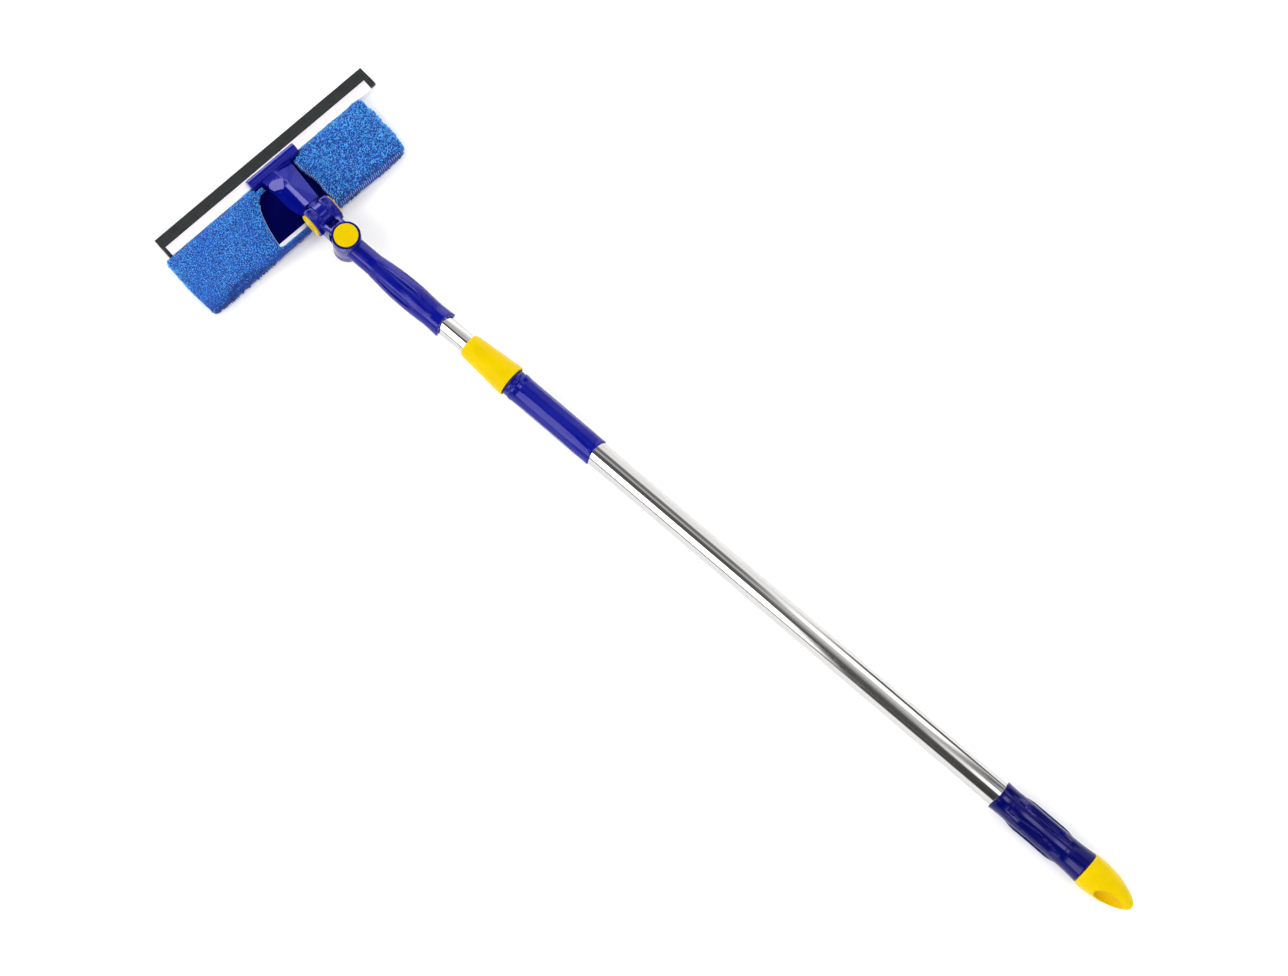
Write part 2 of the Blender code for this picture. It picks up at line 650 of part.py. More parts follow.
def make_pad_plate(head):
    """Flat plate inside the sleeve, with a jaw that backs the channel."""
    slab = box("pad_plate", (-PLATE_HALF_WIDTH, PLATE_REAR_Y, PLATE_BOTTOM),
               (PLATE_HALF_WIDTH, PLATE_FRONT_Y, PLATE_TOP))
    plate = solid("pad_plate", slab, head, plastic("pad_plate", NAVY))
    riser_front = CHANNEL_BACK_Y - 0.4 * MM
    jaw_top = BLADE_Z - CHANNEL_HALF_HEIGHT - GAP
    jaw = [
        (56.5 * MM, JAW_BOTTOM), (77.8 * MM, JAW_BOTTOM), (77.8 * MM, jaw_top),
        (riser_front, jaw_top), (riser_front, PLATE_TOP - 0.1 * MM),
        (56.5 * MM, PLATE_TOP - 0.1 * MM),
    ]
    fuse(plate, "plate_jaw", prism("plate_jaw", jaw, -JAW_HALF_WIDTH, JAW_HALF_WIDTH, "X"))
    for end, side in (("left", -1), ("right", 1)):
        place = (side * SCREW_X, SCREW_Y, 0)
        name = f"plate_screw_hole_{end}"
        cut(plate, name, cylinder(name, 2.2 * MM, 0, 12 * MM, "Z", 16, place))
        name = f"plate_screw_seat_{end}"
        cut(plate, name, cylinder(name, 4.3 * MM, 0, 4.0 * MM, "Z", 16, place))


def make_plate_screws(head):
    """Two screws that pull the plate's jaw and the bracket's clamp together."""
    profile = [(0, 1.5 * MM), (3.6 * MM, 1.5 * MM), (3.9 * MM, 2.2 * MM), (3.9 * MM, 3.7 * MM),
               (1.9 * MM, 3.7 * MM), (1.9 * MM, 15.0 * MM), (0, 16.5 * MM)]
    for end, side in (("left", -1), ("right", 1)):
        name = f"plate_screw_{end}"
        mesh = turned(name, profile, "Z", 16, closed=False)
        mesh.transform(Matrix.Translation((side * SCREW_X, SCREW_Y, 0)))
        solid(name, mesh, head, metal(name, ZINC))


def make_edge_strip(head):
    """Aluminium strip folded over the plate's rear edge."""
    wall = 0.8 * MM
    low = PLATE_BOTTOM - GAP
    high = PLATE_TOP + GAP
    back = PLATE_REAR_Y - GAP
    front = PLATE_REAR_Y + 3.0 * MM
    section = [
        (front, low - wall), (back - wall, low - wall), (back - wall, high + wall),
        (front, high + wall), (front, high), (back, high), (back, low), (front, low),
    ]
    half = PLATE_HALF_WIDTH - 1 * MM
    solid("edge_strip", prism("edge_strip", section, -half, half, "X"), head,
          metal("edge_strip", ALUMINIUM))


def rounded_outline(low_x, high_x, low_y, high_y, radius, steps=4):
    """Rectangle whose two rear corners are arcs."""
    outline = []
    for centre_x, start in ((low_x + radius, 180), (high_x - radius, 270)):
        for step in range(steps + 1):
            angle = math.radians(start + 90 * step / steps)
            outline.append((centre_x + radius * math.cos(angle),
                            low_y + radius + radius * math.sin(angle)))
    return outline + [(high_x, high_y), (low_x, high_y)]


def make_sleeve(head):
    """Microfibre sleeve: a pocket round the plate, open to the front, with a neck opening."""
    outline = rounded_outline(SLEEVE_LEFT, SLEEVE_RIGHT, SLEEVE_REAR, SLEEVE_FRONT, 8 * MM)
    sleeve = solid("microfibre_sleeve", prism("microfibre_sleeve", outline, 0, SLEEVE_TOP), head,
                   material("microfibre_sleeve", SLEEVE_BLUE, 0.9))
    side = PLATE_HALF_WIDTH + 1 * MM
    cut(sleeve, "sleeve_pocket",
        box("sleeve_pocket", (-side, 8.3 * MM, 3.7 * MM), (side, 90 * MM, 10.7 * MM)))
    clear = CLAMP_HALF_WIDTH + 0.6 * MM
    opening = [
        (-clear, 90 * MM), (-clear, 65.4 * MM), (-31 * MM, 60 * MM), (-38 * MM, 47 * MM),
        (-41 * MM, 30 * MM), (-45 * MM, 8.3 * MM), (22 * MM, 8.3 * MM), (19 * MM, 25 * MM),
        (17 * MM, 46 * MM), (18.6 * MM, 58 * MM), (clear, 65.4 * MM), (clear, 90 * MM),
    ]
    cut(sleeve, "sleeve_opening", prism("sleeve_opening", opening, 7 * MM, 30 * MM))
    cut(sleeve, "sleeve_jaw_notch",
        box("sleeve_jaw_notch", (-28.6 * MM, 54 * MM, -5 * MM), (28.6 * MM, 90 * MM, 7 * MM)))


# ---------------------------------------------------------------- assembly

def stand_on_origin(assembly):
    """Moves the assembly so that the middle of its box, at its lowest level, is the origin."""
    bpy.context.view_layer.update()
    graph = bpy.context.evaluated_depsgraph_get()
    low = Vector((math.inf,) * 3)
    high = Vector((-math.inf,) * 3)
    for item in bpy.data.objects:
        if item.type != "MESH" or item.hide_render:
            continue
        shown = item.evaluated_get(graph)
        for vertex in shown.data.vertices:
            place = shown.matrix_world @ vertex.co
            low = Vector(map(min, low, place))
            high = Vector(map(max, high, place))
    assembly.location = (-(low.x + high.x) / 2, -(low.y + high.y) / 2, -low.z)
    bpy.context.view_layer.update()


def main():
    clear_scene()
    slope = math.asin((SWING_AXIS_HEIGHT - CAP_RADIUS_MAX) / CAP_TOUCHES_AT)
    # The neck rolls a little so that the tilt axis is level, and the sleeve lies flat.
    roll = math.asin(math.tan(SWING_AT_REST) * math.tan(slope))
    assembly = frame("assembly")
    pole = frame("pole", assembly, (0, 0, SWING_AXIS_HEIGHT), (slope, 0, 0))
    neck = frame("neck", pole, rotation=(0, roll, 0))
    swing = frame("swing", neck, rotation=(0, 0, SWING_AT_REST))
    bpy.context.view_layer.update()
    forward = swing.matrix_world.col[1].to_3d()
    tilt_height = SWING_AXIS_HEIGHT + TILT_FROM_SWING * forward.z
    tilt = frame("tilt", swing, (0, TILT_FROM_SWING, 0), (-math.asin(forward.z), 0, 0))
    head = frame("head", tilt, (0, 0, -tilt_height))

    make_outer_tube(pole)
    make_upper_grip(pole)
    make_lower_grip(pole)
    make_end_cap(pole)
    make_collet(pole)
    make_lock_collar(pole)
    make_guide_bush(pole)
    make_inner_tube(neck)
    make_inner_tube_plug(neck)
    make_handle_adaptor(neck)
    make_adaptor_screw(neck)
    make_link(swing)
    make_head_bracket(head, tilt_height)
    make_pad_plate(head)
    make_plate_screws(head)
    make_edge_strip(head)
    make_sleeve(head)
    make_blade(head)
    stand_on_origin(assembly)


main()
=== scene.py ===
"""Looks of the telescopic window squeegee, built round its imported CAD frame.

Shapes are modelled in millimetres in three local frames, read from the record's joints:
  POLE   origin on the swing axis, +Y towards the head; "station" is the distance behind it
  SWING  the link's frame, turned about the swing axis
  HEAD   origin under the tilt axis at the level of the floor, +Y towards the blade's edge
"""
import json
import math
import random

import bmesh
import bpy
import numpy as np
from mathutils import Matrix, Vector


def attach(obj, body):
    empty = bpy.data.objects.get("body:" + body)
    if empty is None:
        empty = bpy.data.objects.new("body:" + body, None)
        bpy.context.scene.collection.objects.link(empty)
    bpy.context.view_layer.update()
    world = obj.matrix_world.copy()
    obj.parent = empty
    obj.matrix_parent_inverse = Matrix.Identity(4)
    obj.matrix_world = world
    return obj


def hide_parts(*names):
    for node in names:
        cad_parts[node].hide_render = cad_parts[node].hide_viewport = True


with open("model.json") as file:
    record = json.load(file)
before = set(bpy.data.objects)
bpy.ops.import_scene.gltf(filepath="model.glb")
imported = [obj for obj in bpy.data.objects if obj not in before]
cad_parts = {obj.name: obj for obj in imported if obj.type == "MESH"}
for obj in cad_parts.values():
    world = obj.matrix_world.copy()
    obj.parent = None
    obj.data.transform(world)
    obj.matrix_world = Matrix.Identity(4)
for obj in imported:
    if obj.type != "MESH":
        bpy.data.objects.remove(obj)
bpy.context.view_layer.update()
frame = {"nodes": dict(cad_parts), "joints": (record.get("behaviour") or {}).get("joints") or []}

MM = 0.001
TAU = math.tau
JOINTS = {joint["name"]: joint for joint in frame["joints"]}
NODES = frame["nodes"]

# ---------------------------------------------------------------- frames


def local_frame(origin, x_axis, y_axis, z_axis):
    made = Matrix((x_axis, y_axis, z_axis)).transposed().to_4x4()
    made.translation = origin
    return made


def joint_axis(name):
    return Vector(JOINTS[name]["axis"]).normalized()


SWING_AT = Vector(JOINTS["head_swing"]["pos_m"])
TILT_AT = Vector(JOINTS["head_tilt"]["pos_m"])
UP = Vector((0, 0, 1))
EAST = Vector((1, 0, 0))
pole_y = joint_axis("pole_twist")
swing_z = joint_axis("head_swing")
tilt_x = joint_axis("head_tilt")
neck_x = pole_y.cross(swing_z).normalized()
POLE = local_frame(SWING_AT, EAST, pole_y, EAST.cross(pole_y))
NECK = local_frame(SWING_AT, neck_x, pole_y, swing_z)
SWING = local_frame(SWING_AT, tilt_x, swing_z.cross(tilt_x), swing_z)
HEAD = local_frame(Vector((TILT_AT.x, TILT_AT.y, 0)), tilt_x, UP.cross(tilt_x), UP)
TILT_HEIGHT = TILT_AT.z / MM
TILT_FROM_SWING = (TILT_AT - SWING_AT).length / MM

EYE = 13.5          # radius of the eyes and ears of both pivots
BOLT_HOLE = 2.8     # radius of the hole for either pivot's bolt

# ---------------------------------------------------------------- mesh helpers


def mesh_from(verts, faces, tidy=True):
    mesh = bpy.data.meshes.new("shape")
    mesh.from_pydata([tuple(v) for v in verts], [], [tuple(f) for f in faces])
    if tidy:
        bm = bmesh.new()
        bm.from_mesh(mesh)
        bmesh.ops.recalc_face_normals(bm, faces=bm.faces)
        bm.to_mesh(mesh)
        bm.free()
    mesh.update()
    return mesh


def bridge(low, high, count):
    """Quads between two closed rings of points, whose first points are low and high."""
    nexts = [(i + 1) % count for i in range(count)]
    return [(low + i, low + j, high + j, high + i) for i, j in enumerate(nexts)]


def soften(points, reach, steps=4, closed=False):
    """Rounds the corners of a polyline. A point is (a, b) or (a, b, its own reach)."""
    count = len(points)
    out = []
    for index, point in enumerate(points):
        here = Vector(point[:2])
        own = point[2] if len(point) > 2 else reach
        if own <= 0 or (not closed and index in (0, count - 1)):
            out.append(tuple(here))
            continue
        before = Vector(points[index - 1][:2]) - here
        after = Vector(points[(index + 1) % count][:2]) - here
        start = here + before.normalized() * min(own, before.length * 0.499)
        end = here + after.normalized() * min(own, after.length * 0.499)
        for step in range(steps + 1):
            t = step / steps
            out.append(tuple(start * (1 - t) ** 2 + here * 2 * t * (1 - t) + end * t * t))
    return out


def densify(points, spacing, closed=False):
    """Adds points so that no straight run is longer than the spacing."""
    out = []
    following = points[1:] + (points[:1] if closed else [])
    for here, there in zip(points, following):
        parts = max(1, math.ceil(math.dist(here, there) / spacing))
        for part in range(parts):
            t = part / parts
            out.append((here[0] + (there[0] - here[0]) * t, here[1] + (there[1] - here[1]) * t))
    if not closed:
        out.append(points[-1])
    return out


def lathe(profile, axis="Y", segments=96, closed=False, shape=None, at=(0, 0, 0)):
    """Turns (radius, place) pairs about an axis; an open profile starts and ends on it.

    The angle runs from +Z towards +X round the Y axis. shape(radius, angle, place) moves points.
    """
    body = profile if closed else profile[1:-1]
    ones = np.ones(segments)
    radius = np.array([p[0] for p in body], float)[:, None] * ones
    place = np.array([p[1] for p in body], float)[:, None] * ones
    angle = np.arange(segments) * TAU / segments + np.zeros_like(radius)
    if shape:
        radius, place = shape(radius, angle, place)
    side, up = radius * np.sin(angle), radius * np.cos(angle)
    order = {"Y": (side, place, up), "Z": (up, side, place), "X": (place, side, up)}[axis]
    verts = np.stack(order, -1).reshape(-1, 3)
    rows = len(body)
    faces = []
    for row in range(rows if closed else rows - 1):
        faces += bridge(row * segments, (row + 1) % rows * segments, segments)
    if not closed:
        unit = {"Y": (0, 1, 0), "Z": (0, 0, 1), "X": (1, 0, 0)}[axis]
        tips = np.array([np.array(unit) * profile[0][1], np.array(unit) * profile[-1][1]])
        verts = np.vstack([verts, tips])
        first, last = len(verts) - 2, len(verts) - 1
        base = (rows - 1) * segments
        for i in range(segments):
            j = (i + 1) % segments
            faces.append((first, j, i))
            faces.append((last, base + i, base + j))
    return mesh_from(verts + np.array(at, float), faces)


def prism(outline, low, high, along="Z", cuts=1):
    """Extrudes a closed outline, (x, y) along Z or (y, z) along X."""
    count = len(outline)
    verts, faces = [], []
    for cut in range(cuts + 1):
        level = low + (high - low) * cut / cuts
        for a, b in outline:
            verts.append((a, b, level) if along == "Z" else (level, a, b))
    for cut in range(cuts):
        faces += bridge(cut * count, (cut + 1) * count, count)
    faces.append(tuple(range(count)))
    faces.append(tuple(range(cuts * count, (cuts + 1) * count)))
    return mesh_from(verts, faces)


def box(low, high):
    corners = [(low[0], low[1]), (high[0], low[1]), (high[0], high[1]), (low[0], high[1])]
    return prism(corners, low[2], high[2])


def loft(sections):
    count = len(sections[0])
    verts = [point for section in sections for point in section]
    faces = [tuple(range(count)), tuple(range(len(verts) - count, len(verts)))]
    for row in range(len(sections) - 1):
        faces += bridge(row * count, (row + 1) * count, count)
    return mesh_from(verts, faces)


def hull(points):
    bm = bmesh.new()
    for point in points:
        bm.verts.new(point)
    bmesh.ops.convex_hull(bm, input=bm.verts)
    mesh = bpy.data.meshes.new("shape")
    bm.to_mesh(mesh)
    bm.free()
    return mesh


def modified(mesh, *steps):
    """A copy of the mesh after modifiers, each (kind, settings)."""
    helper = bpy.data.objects.new("helper", mesh)
    bpy.context.scene.collection.objects.link(helper)
    for kind, settings in steps:
        step = helper.modifiers.new(kind, kind)
        for key, value in settings.items():
            setattr(step, key, value)
    graph = bpy.context.evaluated_depsgraph_get()
    made = bpy.data.meshes.new_from_object(helper.evaluated_get(graph))
    bpy.data.objects.remove(helper)
    return made


def combined(mesh, operation, *others):
    """Boolean of a mesh with each of the others in turn."""
    helpers = []
    steps = []
    for other in others:
        helper = bpy.data.objects.new("operand", other)
        bpy.context.scene.collection.objects.link(helper)
        helpers.append(helper)
        steps.append(("BOOLEAN", {
            "operation": operation, "solver": "MANIFOLD", "object": helper,
        }))
    made = modified(mesh, *steps)
    for helper in helpers:
        bpy.data.objects.remove(helper)
    return made


def moulded(mesh, voxel, rounds):
    """Remeshes a union finely and rounds its edges, as a moulded part's are."""
    return modified(
        mesh,
        ("REMESH", {"mode": "VOXEL", "voxel_size": voxel, "adaptivity": 0.0}),
        ("SMOOTH", {"factor": 0.5, "iterations": rounds}),
    )


def bevelled(mesh, width, segments=3, angle=40):
    return modified(mesh, ("BEVEL", {
        "width": width, "segments": segments, "limit_method": "ANGLE",
        "angle_limit": math.radians(angle), "use_clamp_overlap": True,
    }))


def points_of(mesh):
    flat = np.zeros(len(mesh.vertices) * 3)
    mesh.vertices.foreach_get("co", flat)
    return flat.reshape(-1, 3)


def set_points(mesh, points):
    mesh.vertices.foreach_set("co", np.asarray(points, float).ravel())
    mesh.update()


def step_between(values, low, high):
    t = np.clip((np.asarray(values, float) - low) / (high - low), 0, 1)
    return t * t * (3 - 2 * t)


def scaled(mesh, factor):
    mesh.transform(Matrix.Diagonal((factor, factor, factor, 1)))


def point_values(mesh, name, values):
    """Gives a mesh a value at each point, for its material to read."""
    made = mesh.attributes.new(name, "FLOAT", "POINT")
    made.data.foreach_set("value", values.astype(np.float32))


def behind(profile):
    """Stations behind the swing axis as places along the pole's Y, with any corner reaches."""
    return [(point[0], -point[1], *point[2:]) for point in profile]


def piece(name, mesh, where, body, finish, replaces=(), angle=40):
    """Puts a mesh in millimetres in place as a shown piece that rides on a CAD body."""
    scaled(mesh, MM)
    mesh.name = name
    mesh.materials.clear()
    mesh.materials.append(finish)
    mesh.shade_smooth()
    if angle:
        mesh.set_sharp_from_angle(angle=math.radians(angle))
    made = bpy.data.objects.new(name, mesh)
    bpy.context.scene.collection.objects.link(made)
    made.matrix_world = where
    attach(made, body)
    if replaces:
        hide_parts(*replaces)
    return made


# ---------------------------------------------------------------- materials


# places of a Mix node's colour sockets, after those of its other data types
MIX_A, MIX_B, MIX_RESULT = 6, 7, 2


def rgba(value):
    """A colour socket's value from a grey level or three parts."""
    return (value, value, value, 1.0) if isinstance(value, (int, float)) else (*value, 1.0)


class Nodes:
    """Helpers for building one node tree."""

    def __init__(self, tree):
        self.tree = tree

    def node(self, kind, **settings):
        made = self.tree.nodes.new(kind)
        for key, value in settings.items():
            setattr(made, key, value)
        return made

    def link(self, source, target):
        self.tree.links.new(source, target)

    def feed(self, value, target, numbers):
        """Sets a socket from a number or colour, or links another socket to it."""
        if isinstance(value, (int, float, tuple)):
            target.default_value = numbers(value)
        else:
            self.link(value, target)

    def ramp(self, source, stops, interpolation="LINEAR"):
        made = self.node("ShaderNodeValToRGB")
        elements = made.color_ramp.elements
        made.color_ramp.interpolation = interpolation
        while len(elements) < len(stops):
            elements.new(0.5)
        for element, (place, colour) in zip(elements, stops):
            element.position = place
            element.color = rgba(colour)
        self.link(source, made.inputs["Fac"])
        return made.outputs["Color"]

    def maths(self, operation, *values):
        made = self.node("ShaderNodeMath", operation=operation)
        for slot, value in enumerate(values):
            self.feed(value, made.inputs[slot], float)
        return made.outputs[0]

    def mix(self, kind, amount, first, second):
        made = self.node("ShaderNodeMix", data_type="RGBA", blend_type=kind)
        self.feed(amount, made.inputs[0], float)
        for slot, value in ((MIX_A, first), (MIX_B, second)):
            self.feed(value, made.inputs[slot], rgba)
        return made.outputs[MIX_RESULT]


class Shader(Nodes):
    """A node material under construction."""

    def __init__(self, name):
        self.made = bpy.data.materials.new(name)
        self.made.use_nodes = True
        super().__init__(self.made.node_tree)
        self.bsdf = self.tree.nodes["Principled BSDF"]
        self.coords = self.node("ShaderNodeTexCoord").outputs["Object"]

    def set(self, **values):
        for key, value in values.items():
            self.bsdf.inputs[key.replace("_", " ")].default_value = value

    def grain(self, scale, stretch=(1, 1, 1), detail=4.0, rough=0.55):
        """Noise in the piece's own coordinates; scale is in features per metre."""
        mapping = self.node("ShaderNodeMapping")
        mapping.inputs["Scale"].default_value = [scale * s for s in stretch]
        self.link(self.coords, mapping.inputs["Vector"])
        noise = self.node("ShaderNodeTexNoise")
        noise.inputs["Scale"].default_value = 1.0
        noise.inputs["Detail"].default_value = detail
        noise.inputs["Roughness"].default_value = rough
        self.link(mapping.outputs["Vector"], noise.inputs["Vector"])
        return noise.outputs["Fac"]

    def own(self, name):
        """A value that the mesh holds at each point."""
        return self.node("ShaderNodeAttribute", attribute_name=name).outputs["Fac"]

    def bump(self, height, depth, strength=1.0, below=None):
        made = self.node("ShaderNodeBump")
        made.inputs["Strength"].default_value = strength
        made.inputs["Distance"].default_value = depth
        self.link(height, made.inputs["Height"])
        if below is not None:
            self.link(below, made.inputs["Normal"])
        return made.outputs["Normal"]

    def colour(self, source):
        self.link(source, self.bsdf.inputs["Base Color"])

    def roughness(self, source):
        self.link(source, self.bsdf.inputs["Roughness"])

    def normal(self, source):
        self.link(source, self.bsdf.inputs["Normal"])


def plastic(name, dark, light, gloss, rough, shine=0.4, wear=0.15, tint=(1, 1, 1)):
    """Moulded plastic: faint colour drift, skin texture, hair scratches and painted shade in
    recesses.
    """
    s = Shader(name)
    drift = s.grain(60, detail=3.0)
    tone = s.ramp(drift, [(0.3, dark), (0.7, light)])
    specks = s.grain(2600, detail=2.0)
    tone = s.mix("MULTIPLY", 0.2, tone, s.ramp(specks, [(0.35, 0.85), (0.65, 1.0)]))
    # painted shade: darker and more orange where the mesh marks a recess
    painted_recess_shade = s.own("painted_recess_shade")
    s.colour(s.mix("MULTIPLY", painted_recess_shade, tone, (0.93, 0.76, 0.6)))
    scratches = s.grain(1500, (1, 0.04, 1), detail=3.0)
    patches = s.grain(240, detail=3.0)
    mixed = s.mix("MIX", wear, s.ramp(patches, [(0.3, gloss), (0.75, rough)]),
                  s.ramp(scratches, [(0.45, gloss), (0.62, min(1.0, rough * 1.8))]))
    s.roughness(mixed)
    skin = s.bump(s.grain(1100, detail=3.0), 0.00002, 0.25)
    s.normal(s.bump(scratches, 0.00001, 0.4, skin))
    s.set(Specular_IOR_Level=shine, Specular_Tint=(*tint, 1.0))
    return s.made


def metal(name, dark, light, gloss, rough, stretch, depth=0.00001, blotch=0.0):
    """Drawn or brushed metal: streaks along one direction and faint smudges."""
    s = Shader(name)
    streaks = s.grain(1600, stretch, detail=5.0, rough=0.6)
    smudges = s.grain(55, detail=4.0)
    tone = s.ramp(streaks, [(0.3, dark), (0.7, light)])
    dull = tuple(c * 0.72 for c in dark)
    tone = s.mix("MIX", s.ramp(smudges, [(0.5, 0.0), (0.8, blotch)]), tone, dull)
    s.colour(tone)
    shine = s.mix("MIX", 0.4, s.ramp(streaks, [(0.25, gloss), (0.75, rough)]),
                  s.ramp(smudges, [(0.35, gloss), (0.75, rough)]))
    s.roughness(shine)
    s.normal(s.bump(streaks, depth, 0.5))
    s.set(Metallic=1.0)
    return s.made


def rubber():
    """Dark rubber with lines along it and a little dust."""
    s = Shader("blade_rubber")
    tone = s.ramp(
        s.grain(120, detail=4.0), [(0.3, (0.011, 0.0125, 0.013)), (0.75, (0.018, 0.02, 0.021))],
    )
    dust = s.grain(900, (0.15, 1, 1), detail=4.0)
    s.colour(s.mix("MULTIPLY", 0.5, tone, s.ramp(dust, [(0.3, 0.7), (0.7, 1.15)])))
    s.roughness(s.ramp(s.grain(300), [(0.3, 0.48), (0.7, 0.66)]))
    s.set(Specular_IOR_Level=0.2)
    lines = s.bump(s.grain(2200, (0.02, 1, 1), detail=2.0), 0.00003, 0.5)
    s.normal(s.bump(s.grain(2500), 0.00003, 0.5, lines))
    return s.made


def cloth_base():
    """Backing of the microfibre between its tufts."""
    s = Shader("microfibre_backing")
    tone = s.ramp(s.grain(140), [(0.3, (0.002, 0.025, 0.22)), (0.75, (0.005, 0.06, 0.4))])
    fibres = s.grain(1100, detail=6.0, rough=0.7)
    s.colour(s.mix("MULTIPLY", 0.7, tone, s.ramp(fibres, [(0.3, 0.5), (0.7, 1.25)])))
    s.roughness(s.ramp(fibres, [(0.3, 0.8), (0.7, 0.98)]))
    s.normal(s.bump(fibres, 0.0005, 0.9))
    s.set(Sheen_Weight=0.1, Sheen_Roughness=0.5)
    return s.made


def cloth_pile():
    """Tufts: darker at the root as painted shade, lighter at the tip, each with its own tone and
    painted highlights.
    """
    s = Shader("microfibre_pile")
    tip = s.own("pile_tip")
    shade = s.own("pile_tone_and_painted_light")
    # painted shade: darker towards the tuft's root, lighter at its tip
    tone = s.ramp(tip, [(0.0, (0.002, 0.085, 0.45)), (0.5, (0.014, 0.27, 0.86)),
                        (1.0, (0.045, 0.46, 1.0))])
    # the tuft's own tone: near black for its dark marks and painted shade, above one for painted
    # highlights
    own = s.ramp(
        shade, [(0.0, (0.04, 0.06, 0.16)), (0.45, (0.8, 0.9, 0.97)), (1.0, (4.6, 1.75, 1.12))],
    )
    tone = s.mix("MULTIPLY", 1.0, tone, own)
    fibres = s.grain(2400, detail=4.0, rough=0.7)
    s.colour(s.mix("MULTIPLY", 0.5, tone, s.ramp(fibres, [(0.3, 0.65), (0.7, 1.2)])))
    s.roughness(s.ramp(fibres, [(0.3, 0.75), (0.7, 0.95)]))
    s.normal(s.bump(fibres, 0.0002, 0.6))
    s.set(Sheen_Weight=0.18, Sheen_Roughness=0.4)
    return s.made


def thread(name, dark, light):
    """Twisted sewing thread."""
    s = Shader(name)
    twist = s.grain(1800, (1, 1, 0.4), detail=4.0)
    s.colour(s.ramp(twist, [(0.3, dark), (0.7, light)]))
    s.roughness(s.ramp(twist, [(0.3, 0.7), (0.7, 0.9)]))
    s.normal(s.bump(twist, 0.0001, 0.7))
    return s.made


VIOLET = (0.66, 0.6, 1.0)
NAVY = plastic(
    "navy_plastic_look", (0.0008, 0.003, 0.165), (0.0014, 0.005, 0.205), 0.08, 0.15, 0.3,
    tint=VIOLET,
)
NAVY_DEEP = plastic(
    "navy_grip_look", (0.0003, 0.001, 0.064), (0.0006, 0.002, 0.088), 0.08, 0.14, 0.26,
    tint=VIOLET,
)
# the navy plastic made darker as painted shade, for the board that lies under the neck and the
# sleeve
NAVY_BOARD_SHADED = plastic(
    "navy_board_shaded_look", (0.0002, 0.0004, 0.045), (0.0004, 0.0008, 0.07), 0.07, 0.12, 0.1,
    tint=VIOLET,
)
YELLOW = plastic(
    "yellow_plastic_look", (0.57, 0.40, 0.0), (0.63, 0.445, 0.0), 0.25, 0.36, 0.16,
    tint=(1, 0.85, 0.15),
)
NYLON = plastic("nylon_look", (0.66, 0.65, 0.60), (0.76, 0.75, 0.70), 0.4, 0.55)
CHROME = metal(
    "steel_tube_look", (0.54, 0.53, 0.525), (0.59, 0.58, 0.575), 0.025, 0.06, (1, 0.012, 1),
    0.000005,
)
ZINC = metal(
    "zinc_look", (0.46, 0.47, 0.5), (0.62, 0.63, 0.66), 0.22, 0.4, (1, 1, 1), 0.00003, 0.6,
)
ALUMINIUM = metal(
    "aluminium_look", (0.86, 0.82, 0.87), (0.92, 0.88, 0.92), 0.4, 0.47, (0.012, 1, 1), 0.000008,
)
RUBBER = rubber()
BACKING = cloth_base()
PILE = cloth_pile()
THREAD_PALE = thread("pale_thread_look", (0.2, 0.31, 0.68), (0.4, 0.5, 0.88))
THREAD_DARK = thread("dark_thread_look", (0.004, 0.018, 0.2), (0.01, 0.045, 0.38))

for node, finish in (
    ("collet", NYLON), ("guide_bush", NYLON), ("inner_tube_plug", NYLON), ("adaptor_screw", ZINC),
    ("plate_screw_left", ZINC), ("plate_screw_right", ZINC),
):
    NODES[node].data.materials[0] = finish
for node in NODES:
    if node.startswith(("swing_", "tilt_")) and "_cap_" not in node:
        NODES[node].data.materials[0] = ZINC

# ---------------------------------------------------------------- pole

OUTER_TUBE, SLIM_TUBE, TUBE_WALL = 12.0, 9.5, 0.6
GRIP_BORE = 12.3


def tube(radius, start, end):
    """A thin tube between two stations, with softened rims."""
    bore = radius - TUBE_WALL
    profile = [(radius, start, 0.25), (radius, end, 0.25), (bore, end, 0.2), (bore, start, 0.2)]
    profile = densify(soften(behind(profile), 0.2, 3, True), 40, True)
    return lathe(profile, closed=True, segments=128)


def make_tubes():
    piece("chrome_tube", tube(OUTER_TUBE, 196.0, 868.0), POLE, "outer_pole", CHROME,
          ["outer_tube"])
    piece("slim_tube", tube(SLIM_TUBE, 62.3, 815.0), NECK, "inner_pole", CHROME,
          ["inner_tube"])


def make_collar():
    outside = [
        (9.95, 147.2, 0.2), (10.6, 147.2, 0.7), (11.5, 148.8, 1.6), (12.0, 152.5, 3),
        (12.6, 160.0, 6), (13.7, 174.5, 8), (15.2, 192.0, 5), (15.5, 196.0, 2.0),
        (15.4, 199.2, 0.5), (15.0, 199.7, 0.3),
    ]
    inside = [(13.9, 199.7, 0.2), (13.4, 176.5, 0.3), (12.6, 175.5, 0.3), (11.6, 156.5, 0.5),
              (9.95, 154.0, 0.3)]
    profile = soften(behind(outside + inside), 0.3, 5, True)
    piece("twist_collar", lathe(profile, closed=True, segments=128), POLE, "collar", YELLOW,
          ["lock_collar"])


